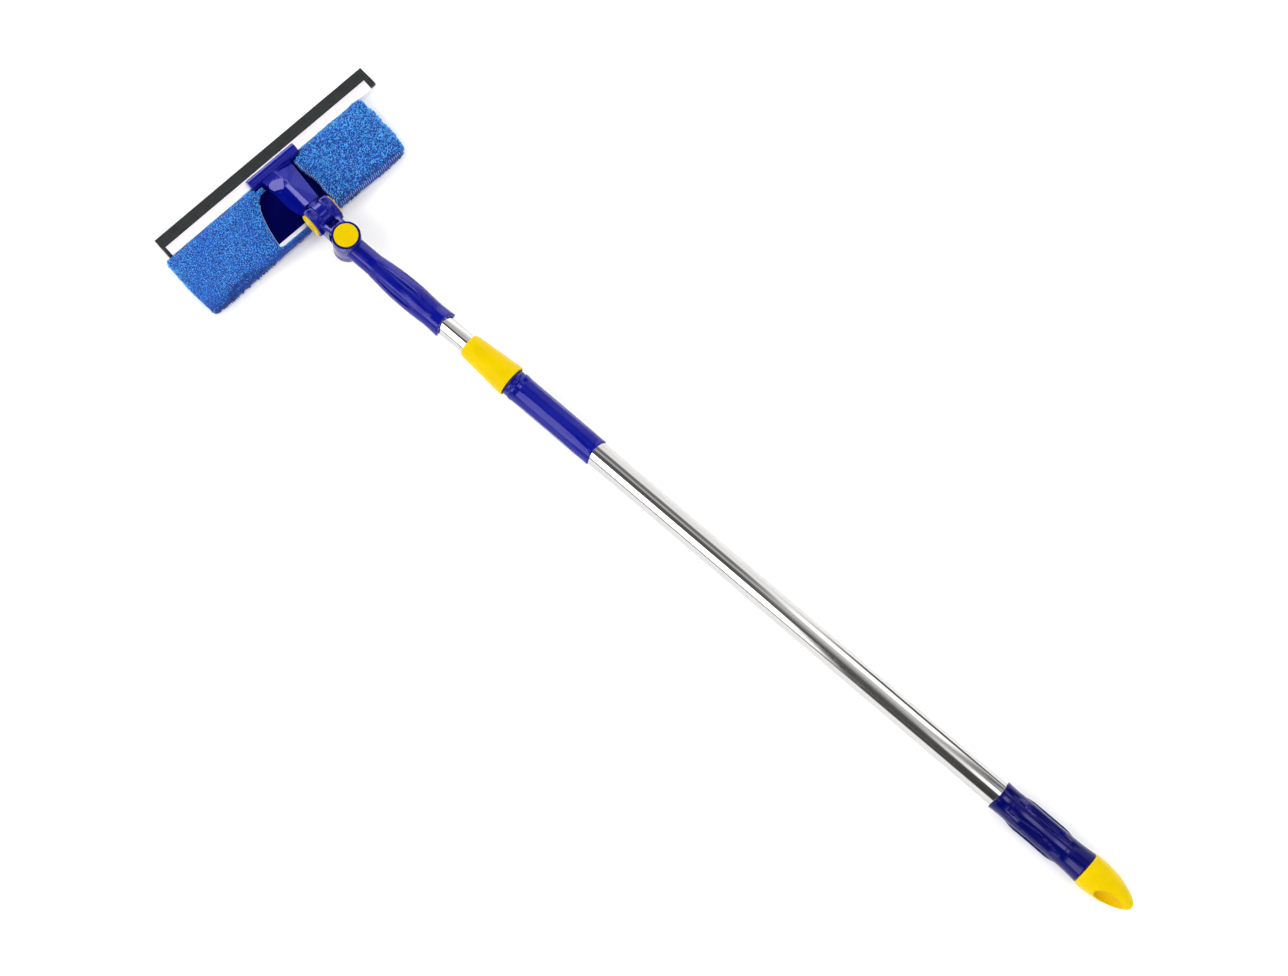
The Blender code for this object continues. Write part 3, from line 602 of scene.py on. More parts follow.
def make_upper_grip():
    outside = [
        (13.0, 200.6, 0.2), (13.3, 202.4, 0.8), (13.3, 204.2, 0.6), (12.95, 204.9, 0.4),
        (13.0, 205.5, 0.4), (13.9, 206.0, 0.5), (13.95, 208.6, 0.8), (13.45, 211.4, 2.0),
        (13.4, 216.0, 4), (13.4, 285.0, 8), (13.15, 297.0, 5), (13.35, 300.4, 0.7),
        (13.0, 301.0, 0.3),
    ]
    inner = [(GRIP_BORE, 301.0, 0.2), (GRIP_BORE, 200.6, 0.2)]
    profile = densify(soften(behind(outside + inner), 0.3, 4, True), 3.0, True)

    half_facet = TAU / 24
    first_facet = math.radians(16)

    def faceted(radius, angle, place):
        """Twelve faint facets that fade at both ends, and a mouth that is cut in a curve."""
        off = np.abs((angle + first_facet) % (2 * half_facet) - half_facet)
        flat = step_between(-place, 210, 232) * (1 - step_between(-place, 262, 290))
        flat = flat * step_between(radius, 12.6, 13.2)
        radius = radius * (1 + 0.85 * flat * (math.cos(half_facet) / np.cos(off) - 1))
        lift = 1.6 * np.cos(angle) ** 2 * step_between(-place, 288, 301)
        return radius, place + lift

    piece("upper_grip_sleeve", lathe(profile, closed=True, segments=128, shape=faceted), POLE,
          "outer_pole", NAVY, ["upper_grip"])


def make_lower_grip():
    outside = [
        (13.9, 772.0, 0.4), (14.3, 772.3, 0.4), (13.9, 776.0, 2.5), (13.7, 786.0, 5),
        (14.3, 794.0, 5), (14.7, 802.0, 8), (14.7, 836.0, 8), (14.4, 843.0, 5), (13.9, 850.0, 4),
        (14.1, 857.0, 5), (14.8, 866.0, 4), (15.3, 871.3, 0.8), (15.1, 872.0, 0.3),
    ]
    inner = [(GRIP_BORE, 872.0, 0.2), (GRIP_BORE, 772.0, 0.2)]
    profile = densify(soften(behind(outside + inner), 0.3, 4, True), 1.0, True)

    ribs, first_rib = 5, math.radians(29)
    half_turn = math.pi / ribs
    start, end = 788, 850

    def ribbed(radius, angle, place):
        """Wide ribs between hollows that fade at both ends, and mouths that are cut in curves."""
        station = -place
        outer = step_between(radius, 12.9, 13.4)
        along = np.clip((station - start) / (end - start), 0, 1)
        reach = np.sin(math.pi * along) ** 0.8
        off = np.abs((angle - first_rib + half_turn) % (TAU / ribs) - half_turn)
        width = math.radians(20) * (0.25 + 0.75 * reach)
        rise = 1 - step_between(off, width * 0.74, width)
        radius = radius + outer * (1.5 * rise * step_between(reach, 0, 0.75) - 0.7 * reach)
        scoop = 2.2 * np.cos(angle) ** 2 * (1 - step_between(station, 772, 788))
        scoop = scoop + 1.3 * np.cos(angle) ** 2 * step_between(station, 858, 872)
        return radius, place - scoop

    piece("lower_grip_sleeve", lathe(profile, closed=True, segments=192, shape=ribbed), POLE,
          "outer_pole", NAVY_DEEP, ["lower_grip"])


def make_end_cap():
    outside = [
        (11.1, 850.0, 0.4), (11.1, 872.3, 0), (15.5, 872.3, 0.3), (15.8, 873.0, 1),
        (16.2, 877.0, 2), (16.1, 882.0, 4), (15.5, 890.0, 4), (14.4, 898.5, 4), (12.1, 907.0, 4),
        (9.2, 915.0, 4), (6.2, 920.8, 3), (3.3, 924.3, 2),
    ]
    profile = [(0, 850.0)] + soften([(0, 850.0)] + outside + [(0, 925.3)], 3, 4)[1:]

    def seam(radius, angle, place):
        """Bends the cap's shoulder to meet the curved mouth of the grip."""
        near_seat = np.exp(-((-place - 872.3) / 6.0) ** 2) * step_between(radius, 11.3, 12.5)
        return radius, place - 1.3 * np.cos(angle) ** 2 * near_seat

    body = lathe([(r, -s) for r, s in profile], segments=120, shape=seam)
    # the two hollows of the hanging hole are halves of ellipsoids, rolled round the pole
    roll = Matrix.Rotation(math.radians(-62.0), 4, "Y")
    half_x, half_y, half_z = 8.6, 16.0, 8.0
    station, offset = 907.0, 13.0
    arc = [(math.sin(a), -math.cos(a)) for a in np.linspace(0.1, 3.04, 24)]
    cuts = []
    for side in (1, -1):
        scoop = lathe([(0, -1)] + arc + [(0, 1)], "Z", 48)
        scoop.transform(Matrix.Diagonal((half_x, half_y, half_z, 1)))
        scoop.transform(Matrix.Translation((0, -station, side * offset)))
        scoop.transform(roll)
        cuts.append(scoop)
    mesh = moulded(combined(body, "DIFFERENCE", *cuts), 0.5, 12)
    # painted shade for the hollows of the hanging hole: full inside them, fading out past their
    # rims
    x, y, z = (points_of(mesh) @ np.array(roll.to_3x3())).T
    inside = (x / half_x) ** 2 + ((y + station) / half_y) ** 2
    inside = inside + ((np.abs(z) - offset) / half_z) ** 2
    point_values(mesh, "painted_recess_shade", 1 - step_between(inside, 0.75, 1.5))
    piece("hanging_cap", mesh, POLE, "outer_pole", YELLOW, ["end_cap"], angle=0)


def make_adaptor():
    outside = [
        (10.4, 8.0, 0), (10.4, 33.0, 5), (11.6, 44.0, 6), (12.9, 58.0, 7), (13.4, 70.0, 7),
        (13.3, 84.0, 7), (12.8, 95.0, 5), (12.3, 104.0, 5), (12.5, 112.0, 4), (13.0, 119.4, 0.7),
        (12.7, 120.1, 0.3),
    ]
    bore = [(9.8, 120.1, 0.3), (9.8, 62.0, 0.2)]
    profile = soften(behind([(0, 8.0)] + outside + bore + [(0, 62.0)]), 0.3, 4)
    profile = densify(profile, 1.0)

    grooves, first_groove = 6, math.radians(8)
    half_turn = math.pi / grooves
    start, end = 34, 90

    def fluted(radius, angle, place):
        """Leaf-shaped grooves round the swell, and a mouth that is cut in a curve."""
        station = -place
        outer = step_between(radius, 10.0, 10.35)
        along = np.clip((station - start) / (end - start), 0, 1)
        reach = np.sin(math.pi * along ** 1.5) ** 0.7
        off = (angle - first_groove + half_turn) % (TAU / grooves) - half_turn
        width = math.radians(14) * reach ** 0.8 + 1e-4
        groove = np.clip(1 - (off / width) ** 2, 0, 1) ** 0.55
        radius = radius - outer * 2.5 * groove * reach
        lift = 2.8 * np.cos(angle) ** 2 * step_between(station, 104, 120)
        return radius, place + lift

    body = lathe(profile, segments=168, shape=fluted)
    half = 10.1
    rim = [(0, -half), (EYE, -half, 0.9), (EYE, half, 0.9), (0, half)]
    joined = combined(body, "UNION", lathe(soften(rim, 1, 5), "Z", 120))
    bolt_hole = lathe([(0, -16), (BOLT_HOLE, -16), (BOLT_HOLE, 16), (0, 16)], "Z", 32)
    screw_hole = lathe([(0, -20), (2.0, -20), (2.0, -9), (0, -9)], "Z", 24, at=(0, -90.0, 0))
    mesh = combined(joined, "DIFFERENCE", bolt_hole, screw_hole)
    piece(
        "fluted_adaptor", mesh, NECK, "inner_pole", NAVY, ["handle_adaptor"],
        angle=35,
    )


# ---------------------------------------------------------------- pivots

# distance of the ears' inner faces from the pivots' middles, and thickness of an ear
SWING_FACE, TILT_FACE, EAR = 11.1, 5.2, 8.2
EAR_RIBS, RIB_DEPTH = 50, 0.55
CLEARANCE = 14.2    # radius that an eye needs round its axis


def ear(axis, face, side, at=(0, 0, 0)):
    """One ear of a pivot: ribbed rim, rounded edges and the stepped bore for cap and bolt."""
    outer = face + EAR
    lip, cap_seat, bolt_seat = face - 0.65, outer - 2.0, outer - 5.6
    profile = [(EYE, lip, 0.3), (EYE, outer, 0.45), (12.1, outer, 0.15), (12.1, cap_seat, 0.2),
               (5.3, cap_seat, 0.2), (5.3, bolt_seat, 0.1), (BOLT_HOLE, bolt_seat, 0.1),
               (BOLT_HOLE, face, 0.1), (10.9, face, 0.1), (10.9, lip, 0.1)]
    profile = [(r, side * s) for r, s in densify(soften(profile, 0.3, 4, True), 2.0, True)]

    def ribbed(radius, angle, place):
        level = np.abs(place)
        flat = step_between(level, face - 0.1, face + 0.5)
        flat = flat * (1 - step_between(level, outer - 1.6, outer - 1.0))
        rim = step_between(radius, 13.0, 13.45)
        return radius - RIB_DEPTH * rim * flat * (0.5 + 0.5 * np.cos(EAR_RIBS * angle)), place

    return lathe(profile, axis, EAR_RIBS * 6, True, ribbed, at)


def make_knuckle():
    """The cross knuckle: a web that narrows from the swing's ears to the tilt's ears."""
    centre = (0, TILT_FROM_SWING, 0)
    waist = [
        (2.0, 9.0, 18.9), (9.0, 9.0, 18.5), (16.0, 9.0, 15.0), (22.0, 10.5, 10.5),
        (32.0, 12.0, 9.0),
    ]
    sections = []
    for station, half_x, half_z in waist:
        round_x, round_z = half_x - 1.6, half_z - 1.6
        sections.append([(x, station, z) for x, z in (
            (-half_x, -round_z), (-round_x, -half_z), (round_x, -half_z), (half_x, -round_z),
            (half_x, round_z), (round_x, half_z), (-round_x, half_z), (-half_x, round_z))])
    web = bevelled(loft(sections), 0.5, 3, 30)
    clear_swing = box((-30, -30, -SWING_FACE), (30, CLEARANCE, SWING_FACE))
    clear_tilt = box((-TILT_FACE, TILT_FROM_SWING - CLEARANCE, -30), (TILT_FACE, 80, 30))
    bores = []
    for axis, face, at in (("Z", SWING_FACE, (0, 0, 0)), ("X", TILT_FACE, centre)):
        for side in (-1, 1):
            near, far = side * (face + 0.5), side * (face + EAR + 6)
            bores.append(lathe([(0, near), (13.2, near), (13.2, far), (0, far)], axis, 96, at=at))
    pocket = soften([(-5.5, 14.6), (5.5, 14.6), (5.5, 19.0), (-5.5, 19.0)], 1.0, 4, True)
    pockets = [prism(pocket, 9.5, 30), prism(pocket, -30, -9.5)]
    web = combined(web, "DIFFERENCE", clear_swing, clear_tilt, *bores, *pockets)
    parts = [ear("Z", SWING_FACE, side) for side in (-1, 1)]
    parts += [ear("X", TILT_FACE, side, centre) for side in (-1, 1)]
    mesh = combined(web, "UNION", *parts)
    piece("knuckle", mesh, SWING, "link", NAVY, ["link_knuckle"], angle=35)


def make_caps():
    for prefix, axis, face, at, ends in (
        ("swing", "Z", SWING_FACE, (0, 0, 0), ("bottom", "top")),
        ("tilt", "X", TILT_FACE, (0, TILT_FROM_SWING, 0), ("left", "right")),
    ):
        outer = face + EAR
        for side, end in zip((-1, 1), ends):
            profile = [(0, outer - 1.7), (11.2, outer - 1.7, 0.2), (11.2, outer + 1.2, 0.6),
                       (10.5, outer + 1.5, 0.7), (0, outer + 1.6)]
            profile = densify(soften(profile, 0.4, 5), 3.0)
            mesh = lathe([(r, side * s) for r, s in profile], axis, 96, at=at)
            node = f"{prefix}_cap_{end}"
            piece(f"{prefix}_cover_{end}", mesh, SWING, "link", YELLOW, [node])


# ---------------------------------------------------------------- head

RIDGE_SLOPE = math.radians(23.9)
TONGUE = 4.2        # half width of the bracket's tongue between the tilt's ears
BASE = 9.6          # level of the bracket's underside
SCREW_X, SCREW_Y, SCREW_HOLE = 12.0, 60.0, 2.2


def ridge_height(y):
    """Level of the neck's ridge, which leaves the tilt eye's rim as a tangent."""
    past_rim = y - EYE * math.sin(RIDGE_SLOPE)
    return TILT_HEIGHT + EYE * math.cos(RIDGE_SLOPE) - past_rim * math.tan(RIDGE_SLOPE)


def screw_cuts(radius, low, high, segments):
    """Cutters for both clamp screws' holes, between two levels."""
    profile = [(0, low), (radius, low), (radius, high), (0, high)]
    return [lathe(profile, "Z", segments, at=(side * SCREW_X, SCREW_Y, 0)) for side in (-1, 1)]


def make_bracket():
    """The ridged neck from the tilt eye to the hood over the blade's rail."""
    hood = soften([
        (77.8, 13.7, 0.3), (77.8, 16.3, 1.4), (76.6, 18.6, 1.4), (74.2, 20.0, 1.4),
        (71.2, 20.2, 1.6), (68.4, 19.0, 1.6), (66.6, 16.6, 1.6), (66.0, 13.0, 1.6),
        (66.0, BASE, 0.3), (69.4, BASE, 0.3), (69.4, 13.7, 0.3),
    ], 0.5, 5, True)
    body = prism(hood, -28, 28, "X")
    shoulder = EYE + 1.1
    # along the neck: its place, the foot's half width and lift, a point in the left face's
    # hollow, the ridge's half width and middle, and how far the top lies under the ridge's slope
    widths = [
        (68.8, 17.4, 0.0, (-16.2, 16.4), 0.3, -2.0, 1.0),
        (61.0, 16.2, 0.0, (-15.9, 17.2), 0.3, -2.0, 1.2),
        (54.0, 15.4, 0.0, (-15.2, 18.0), 0.3, -2.2, 1.2),
        (47.4, 15.0, 0.0, (-11.4, 18.2), 0.6, -3.0, 1.2),
        (46.6, 15.0, 0.0, (-11.0, 18.2), 2.2, -3.8, 0.0),
        (40.0, 15.0, 0.0, (-11.0, 17.0), 2.3, -4.0, 0.0),
        (30.0, 14.4, 1.0, (-10.6, 19.0), 2.5, -4.4, 0.0),
        (20.0, 12.6, 7.0, (-9.6, 27.0), 2.7, -4.9, 0.0),
        (shoulder, 11.6, TILT_HEIGHT - EYE + 0.2 - BASE, (-9.0, 32.0), 2.7, -5.1, 0.0),
    ]
    sections = []
    for y, foot, lift, hollow, ridge, middle, drop in widths:
        top = ridge_height(y) - drop
        if y > 65:
            top = min(top, 18.2)
        low = BASE + lift
        section = [
            hollow, (-foot, low + 2), (-foot, low), (1.0, low), (1.0, top - 1.2),
            (middle + ridge, top), (middle - ridge, top),
        ]
        sections.append([(x, y, z) for x, z in section])
    neck = loft(sections)
    ridge_end = ridge_height(46.6)
    low = TILT_HEIGHT - EYE + 0.2
    flank = hull([
        (-1.6, 46.6, ridge_end), (-2.4, shoulder, ridge_height(shoulder)), (8.0, shoulder, 39.7),
        (14.2, 54.5, 19.8), (-1.6, 54.5, BASE), (15.0, 54.5, BASE), (15.0, 31.0, BASE),
        (-1.6, 31.0, BASE), (-2.4, shoulder, low), (10.4, shoulder, low),
    ])
    brow = hull([
        (-1.8, 46.6, ridge_end - 0.2), (14.2, 54.5, 19.8), (16.2, 67.0, 14.2), (-2.0, 67.0, 17.6),
        (-1.8, 46.6, BASE), (15.0, 54.5, BASE), (17.2, 67.0, BASE), (-2.0, 67.0, BASE),
    ])
    tongue = []
    for y, drop in ((EYE * math.sin(RIDGE_SLOPE) - 1.5, 0.9), (shoulder + 6, 0.1)):
        top = ridge_height(y) - drop
        underside = TILT_HEIGHT - EYE + 0.1
        section = [(-TONGUE, underside), (TONGUE, underside), (TONGUE, top - 3.4), (-2.4, top),
                   (-TONGUE, top)]
        tongue.append([(x, y, z) for x, z in section])
    plate = loft(tongue)
    eye = [(0, -TONGUE), (EYE, -TONGUE), (EYE, TONGUE), (0, TONGUE)]
    eye = lathe(eye, "X", 120, at=(0, 0, TILT_HEIGHT))
    outline = [
        (-0.6, 55.6), (-2.4, 50.3), (-3.9, 46.4), (-7.2, 46.0), (-15.2, 51.8), (-16.4, 57.0),
        (-14.8, 61.0), (-9.6, 61.4),
    ]
    # the boss beside the ridge: a sloping top over a slightly larger foot
    boss_top = [(x, y, 35.4 + 0.42 * x - 0.18 * y) for x, y in outline]
    foot = [(-8.5 + (x + 8.5) * 1.08, 54 + (y - 54) * 1.1, 10.5) for x, y in outline]
    facet = hull(boss_top + foot)
    mesh = combined(body, "UNION", neck, flank, brow, plate, eye, facet)
    bolt_hole = [(0, -12), (BOLT_HOLE, -12), (BOLT_HOLE, 12), (0, 12)]
    bolt_hole = lathe(bolt_hole, "X", 32, at=(0, 0, TILT_HEIGHT))
    mesh = combined(mesh, "DIFFERENCE", bolt_hole, *screw_cuts(SCREW_HOLE, 0, 16.8, 24))
    mesh = moulded(mesh, 0.4, 3)
    piece("clamp_bracket", mesh, HEAD, "head", NAVY, ["head_bracket"], angle=0)


def make_plate():
    slab = box((-98, 10, 5.2), (98, 68, 9.2))
    jaw = prism(
        [(56.5, 1.2), (77.8, 1.2), (77.8, 4.3), (69.4, 4.3), (69.4, 9.1), (56.5, 9.1)], -26, 26,
        "X",
    )
    mesh = combined(slab, "UNION", jaw)
    # each screw's head and shank in turn
    heads, shanks = screw_cuts(4.3, -1, 4.0, 32), screw_cuts(SCREW_HOLE, 0, 12, 24)
    holes = [cut for pair in zip(heads, shanks) for cut in pair]
    mesh = combined(mesh, "DIFFERENCE", *holes)
    piece(
        "pad_board", bevelled(mesh, 0.35, 2, 50), HEAD, "head", NAVY_BOARD_SHADED,
        ["pad_plate"], angle=20,
    )


def make_edge_strip():
    section = soften([
        (13.0, 4.1, 0.15), (8.9, 4.1, 0.7), (8.9, 10.3, 0.7), (13.0, 10.3, 0.15),
        (13.0, 9.5, 0.15), (9.7, 9.5, 0.1), (9.7, 4.9, 0.1), (13.0, 4.9, 0.15),
    ], 0.3, 3, True)
    piece(
        "rear_strip", prism(section, -97, 97, "X"), HEAD, "head", ALUMINIUM,
        ["edge_strip"],
    )


def make_blade():
    """The rubber and the channel that grips it, both symmetrical about the level z."""
    z = 9.0
    half = [
        (71.3, -2.9, 0.5), (79.4, -2.9, 0.4), (80.0, -2.55, 0.3), (84.0, -2.2, 0.5),
        (84.5, -1.9, 0.2), (85.1, -2.1, 0.3), (91.9, -1.15, 0.3), (92.6, -0.9, 0.12),
    ]
    section = [(y, z + dz, reach) for y, dz, reach in half]
    section += [(y, z - dz, reach) for y, dz, reach in reversed(half)]
    blade = prism(soften(section, 0.2, 3, True), -125.5, 124.5, "X", 4)
    piece("blade_lip", blade, HEAD, "head", RUBBER, ["squeegee_rubber"], angle=30)

    outer, inner = 4.4, 3.2
    top = [
        (80.0, inner, 0.1), (80.0, outer, 0.35), (79.0, outer, 0.2), (74.9, outer, 0.15),
        (74.7, outer - 0.45, 0.1), (74.2, outer - 0.45, 0.1), (74.0, outer, 0.2),
        (72.6, outer, 0.8), (70.1, outer - 1.5, 0.5),
    ]
    section = [(y, z + dz, reach) for y, dz, reach in top]
    section += [(69.8, z + 2.4, 0.3), (69.8, z - 2.4, 0.3)]
    section += [(y, z - dz, reach) for y, dz, reach in reversed(top)]
    section += [(71.0, z - inner, 0.3), (71.0, z + inner, 0.3)]
    middle, half_length = -2.2, 120.25
    section = soften(section, 0.2, 3, True)
    channel = prism(section, middle - half_length, middle + half_length, "X", 2)
    piece("blade_rail", channel, HEAD, "head", ALUMINIUM, ["blade_channel"], angle=30)


# ---------------------------------------------------------------- sleeve

LEFT, RIGHT, REAR, FRONT, TOP = -131.0, 104.5, 3.0, 69.4, 14.2
SWELLING_FRAMES = 20
# the neck's opening, from its front left corner round the rear to its front right corner
OPENING = [
    (-28.6, 90), (-28.6, 65.1), (-18.6, 65.1), (-18.4, 60.0), (-27, 58.5), (-35.6, 49),
    (-39.6, 37), (-42.6, 24.6), (-45, 8.3), (22, 8.3), (20.0, 18), (20.0, 25), (20.8, 32),
    (19.8, 40), (18.4, 47), (17.6, 54), (17.6, 65.1), (28.6, 65.1), (28.6, 90),
]


def sleeve_blank(inset):
    """The pocket before it swells: slightly smaller than the finished sleeve."""
    outline = [(LEFT + inset, REAR + inset - 1.0, 5), (RIGHT - inset, REAR + inset, 11),
               (RIGHT - inset, FRONT - 0.2, 3), (LEFT + inset - 1.0, FRONT + 0.9, 2)]
    slab = prism(soften(outline, 4, 8, True), inset, TOP - inset)
    pocket = box((-99, 8.3, 3.7), (99, 90, 10.7))
    opening = prism(OPENING, 7, 30)
    notch = box((-28.6, 54, -5), (28.6, 90, 7))
    return combined(slab, "DIFFERENCE", pocket, opening, notch)


def inflate(mesh, held, most):
    """Cloth simulation of a closed form under pressure.

    Points in held stay where they are, and no point moves further than most, in mm.
    """
    scaled(mesh, MM)
    body = bpy.data.objects.new("sleeve_cloth", mesh)
    bpy.context.scene.collection.objects.link(body)
    start = points_of(mesh)
    pins = body.vertex_groups.new(name="held")
    pins.add([int(i) for i in np.flatnonzero(held)], 1.0, "REPLACE")
    cloth = body.modifiers.new("cloth", "CLOTH")
    settings = cloth.settings
    settings.quality = 4
    settings.mass = 0.05
    settings.tension_stiffness = settings.compression_stiffness = 12
    settings.shear_stiffness = 4
    settings.bending_stiffness = 0.4
    settings.use_pressure = True
    settings.uniform_pressure_force = 4
    settings.effector_weights.gravity = 0
    settings.vertex_group_mass = "held"
    cloth.collision_settings.use_collision = False
    cloth.point_cache.frame_start, cloth.point_cache.frame_end = 1, SWELLING_FRAMES
    for moment in range(1, SWELLING_FRAMES + 1):
        bpy.context.scene.frame_set(moment)
    graph = bpy.context.evaluated_depsgraph_get()
    made = bpy.data.meshes.new_from_object(body.evaluated_get(graph))
    bpy.context.scene.frame_set(1)
    bpy.data.objects.remove(body)
    shift = points_of(made) - start
    length = np.linalg.norm(shift, axis=1, keepdims=True)
    shift *= np.minimum(1, most * MM / np.maximum(length, 1e-9))
    set_points(made, start + shift)
    scaled(made, 1 / MM)
    return made


def waves(x, y, seed, size):
    """Smooth repeatable noise, about -1 to 1, with features of roughly that size in mm."""
    rng = np.random.default_rng(seed)
    total = np.zeros_like(x)
    for _ in range(7):
        turn, phase = rng.uniform(0, TAU, 2)
        pitch = TAU / (size * rng.uniform(0.7, 1.6))
        total += np.sin(pitch * (x * math.cos(turn) + y * math.sin(turn)) + phase)
    return total / 3.2


def along_line(x, y, start, end):
    """Distance from a segment, and how far along it, for each point."""
    dx, dy = end[0] - start[0], end[1] - start[1]
    t = np.clip(((x - start[0]) * dx + (y - start[1]) * dy) / (dx * dx + dy * dy), 0, 1)
    return np.hypot(x - start[0] - t * dx, y - start[1] - t * dy), t


def make_sleeve():
    """The padded sleeve: a swollen pocket with a fold, creases, tufts and sewn edges."""
    mesh = modified(sleeve_blank(0.9), ("REMESH", {"mode": "VOXEL", "voxel_size": 1.5}),
                    ("SMOOTH", {"factor": 0.5, "iterations": 2}))
    p = points_of(mesh)
    x, y, z = p.T
    inside = (np.abs(x) < 99.6) & (y > 7.6) & (z > 3.2) & (z < 11.2)
    mesh = inflate(mesh, inside, 1.6)
    p = points_of(mesh)
    x, y, z = p.T
    outer = ~inside
    top = outer * step_between(z, 8.5, 11.5)
    lift = 0.35 * waves(x, y, 11, 26) + 0.18 * waves(x, y, 12, 9)
    ridge, t = along_line(x, y, (-95, 62), (-37, 52))
    lift += 0.9 * np.exp(-(ridge / 3.2) ** 2) * np.sin(math.pi * np.clip(t, 0.02, 0.98)) ** 0.5
    valley, t = along_line(x, y, (-90, 57), (-40, 47))
    lift -= 0.5 * np.exp(-(valley / 3.5) ** 2)
    roll, t = along_line(x, y, (-31.5, 61.5), (-42, 34))
    lift += 1.7 * np.exp(-(roll / 4.5) ** 2) * (1 - 0.6 * t)
    crease, t = along_line(x, y, (56, 68), (43, 44))
    lift -= 0.8 * np.exp(-(crease / 2.5) ** 2)
    p[:, 2] += lift * top
    p[:, 2] -= 2.2 * top * (1 - step_between(x, -131, -104))
    p[:, 2] = np.maximum(p[:, 2], 0.25)
    set_points(mesh, p)
    sleeve = piece(
        "sleeve_body", mesh, HEAD, "head", BACKING, ["microfibre_sleeve"], angle=0,
    )
    make_pile(sleeve)
    make_stitches(sleeve)


TUFT_SIDES = 3


def make_pile(sleeve):
    """One tuft from each outer face of the sleeve, leaning with its neighbours.

    A tuft is a ring at its root, a ring at its middle and a tip.
    """
    mesh = sleeve.data
    count = len(mesh.polygons)
    centre, normal = np.zeros(count * 3), np.zeros(count * 3)
    mesh.polygons.foreach_get("center", centre)
    mesh.polygons.foreach_get("normal", normal)
    centre, normal = centre.reshape(-1, 3) / MM, normal.reshape(-1, 3)
    x, y, z = centre.T
    hidden = (np.abs(x) < 98.8) & (y > 8.6) & (z > 3.9) & (z < 10.4)
    gap = (np.abs(x) < 28) & (y > 64.6)
    keep = ~hidden & ~gap & ~((z < 9) & (normal[:, 2] > 0.3) & (np.abs(x) < 97))
    centre, normal = centre[keep], normal[keep]
    x, y, z = centre.T
    total = len(centre)
    rng = np.random.default_rng(5)
    low = step_between(-normal[:, 2], 0.5, 0.9)
    near_opening, t = along_line(x, y, (-30, 62), (-42, 34))
    shaggy = np.maximum(step_between(x, 0, 20), np.exp(-(near_opening / 9) ** 2))
    length = 1.35 + (0.45 + 0.55 * shaggy) * waves(x, y, 21, 5) + rng.uniform(-0.25, 0.25, total)
    length += 0.7 * shaggy + 0.8 * np.exp(-(near_opening / 5) ** 2)
    edge = np.full(total, 99.0)
    for start, end in zip(OPENING[2:-3], OPENING[3:-2]):
        edge = np.minimum(edge, along_line(x, y, start, end)[0])
    seam = (1 - step_between(edge, 0.9, 2.6)) * step_between(y, 9, 12)
    rear = (1 - step_between(y, 4.5, 7.5)) * step_between(x, -60, -40)
    length *= 1 - 0.5 * seam - 0.5 * rear
    length += rng.uniform(0, 0.9, total) * step_between(-normal[:, 1], 0.3, 0.7) * (y < 12)
    length = np.maximum(0.5, length) * (1 - 0.72 * low)
    length = length * np.where(np.abs(normal[:, 2]) < 0.4, 0.8, 1)
    turn = 2.2 * waves(x, y, 22, 18) + 1.2 * waves(x, y, 23, 5)
    lean = np.stack([np.cos(turn), np.sin(turn), np.zeros(total)], -1)
    direction = normal + 0.55 * lean + rng.normal(0, 0.28, (total, 3)) + low[:, None] * lean * 3
    direction[:, 2] = np.where(low > 0.3, np.maximum(direction[:, 2], -0.25), direction[:, 2])
    direction /= np.linalg.norm(direction, axis=1, keepdims=True)
    centre = centre + rng.uniform(-0.55, 0.55, (total, 3)) * (1 - np.abs(normal)) - normal * 0.5
    side = np.cross(direction, rng.normal(0, 1, (total, 3)))
    side /= np.linalg.norm(side, axis=1, keepdims=True)
    other = np.cross(direction, side)
    bend = lean * (0.25 * length[:, None])
    rings = []
    for share, radius in ((0.0, 0.62), (0.55, 0.55)):
        base = centre + direction * (length * share)[:, None] + bend * share ** 2
        for corner in range(TUFT_SIDES):
            angle = TAU * corner / TUFT_SIDES
            rings.append(base + radius * (side * math.cos(angle) + other * math.sin(angle)))
    rings.append(centre + direction * length[:, None] + bend)
    verts = np.stack(rings, 1)
    verts[..., 2] = np.maximum(verts[..., 2], 0.05)
    faces = []
    for n in range(total):
        root = n * len(rings)
        middle, tip = root + TUFT_SIDES, root + 2 * TUFT_SIDES
        faces.append((root + 2, root + 1, root))
        for i in range(TUFT_SIDES):
            j = (i + 1) % TUFT_SIDES
            faces.append((root + i, root + j, middle + j, middle + i))
            faces.append((middle + i, middle + j, tip))
    made = mesh_from(verts.reshape(-1, 3), faces, tidy=False)
    tips = np.tile(np.array([0.0] * TUFT_SIDES + [0.5] * TUFT_SIDES + [1.0]), total)
    # each tuft's tone: random drift, with values towards the top of the range giving painted
    # highlights
    tone = 0.68 + 0.1 * waves(x, y, 24, 34) + (0.12 + 0.2 * shaggy) * waves(x, y, 25, 3.6)
    tone += rng.normal(0, 0.13, total) + 0.18 * waves(x, y, 26, 10) * shaggy
    # painted light: lighter towards the right part's front right corner
    tone += 0.14 * step_between(y, 40, 66) * step_between(x, 55, 80)
    # darker towards the rear edge, and painted shade on the faces that look rearwards
    rear_band_and_shade = step_between(9.0 - y, 0, 3.0) * (0.55 + 0.45 * step_between(x, -60, -40))
    rear_band_and_shade = np.maximum(rear_band_and_shade, 1.6 * step_between(-normal[:, 1], 0.3, 0.7) * (y < 12))
    # darker along the opening's seam, in the rear band and at the left rear corner
    tone -= 0.2 * seam + 0.45 * rear_band_and_shade + 0.2 * step_between(-x, 100, 128) * step_between(
        40 - y, 0, 30,
    )
    marks = np.sin(x * TAU / 5.2 + 2.0 * waves(x, y, 27, 20)) > 0.1
    marks = marks * np.exp(-((y - 9.5) / 2.6) ** 2)
    tone = np.clip(tone - 0.35 * marks * (x < -46), 0, 1)
    point_values(made, "pile_tip", tips)
    point_values(made, "pile_tone_and_painted_light", np.repeat(tone, len(rings)))
    piece("sleeve_pile", made, HEAD, "head", PILE, angle=0)


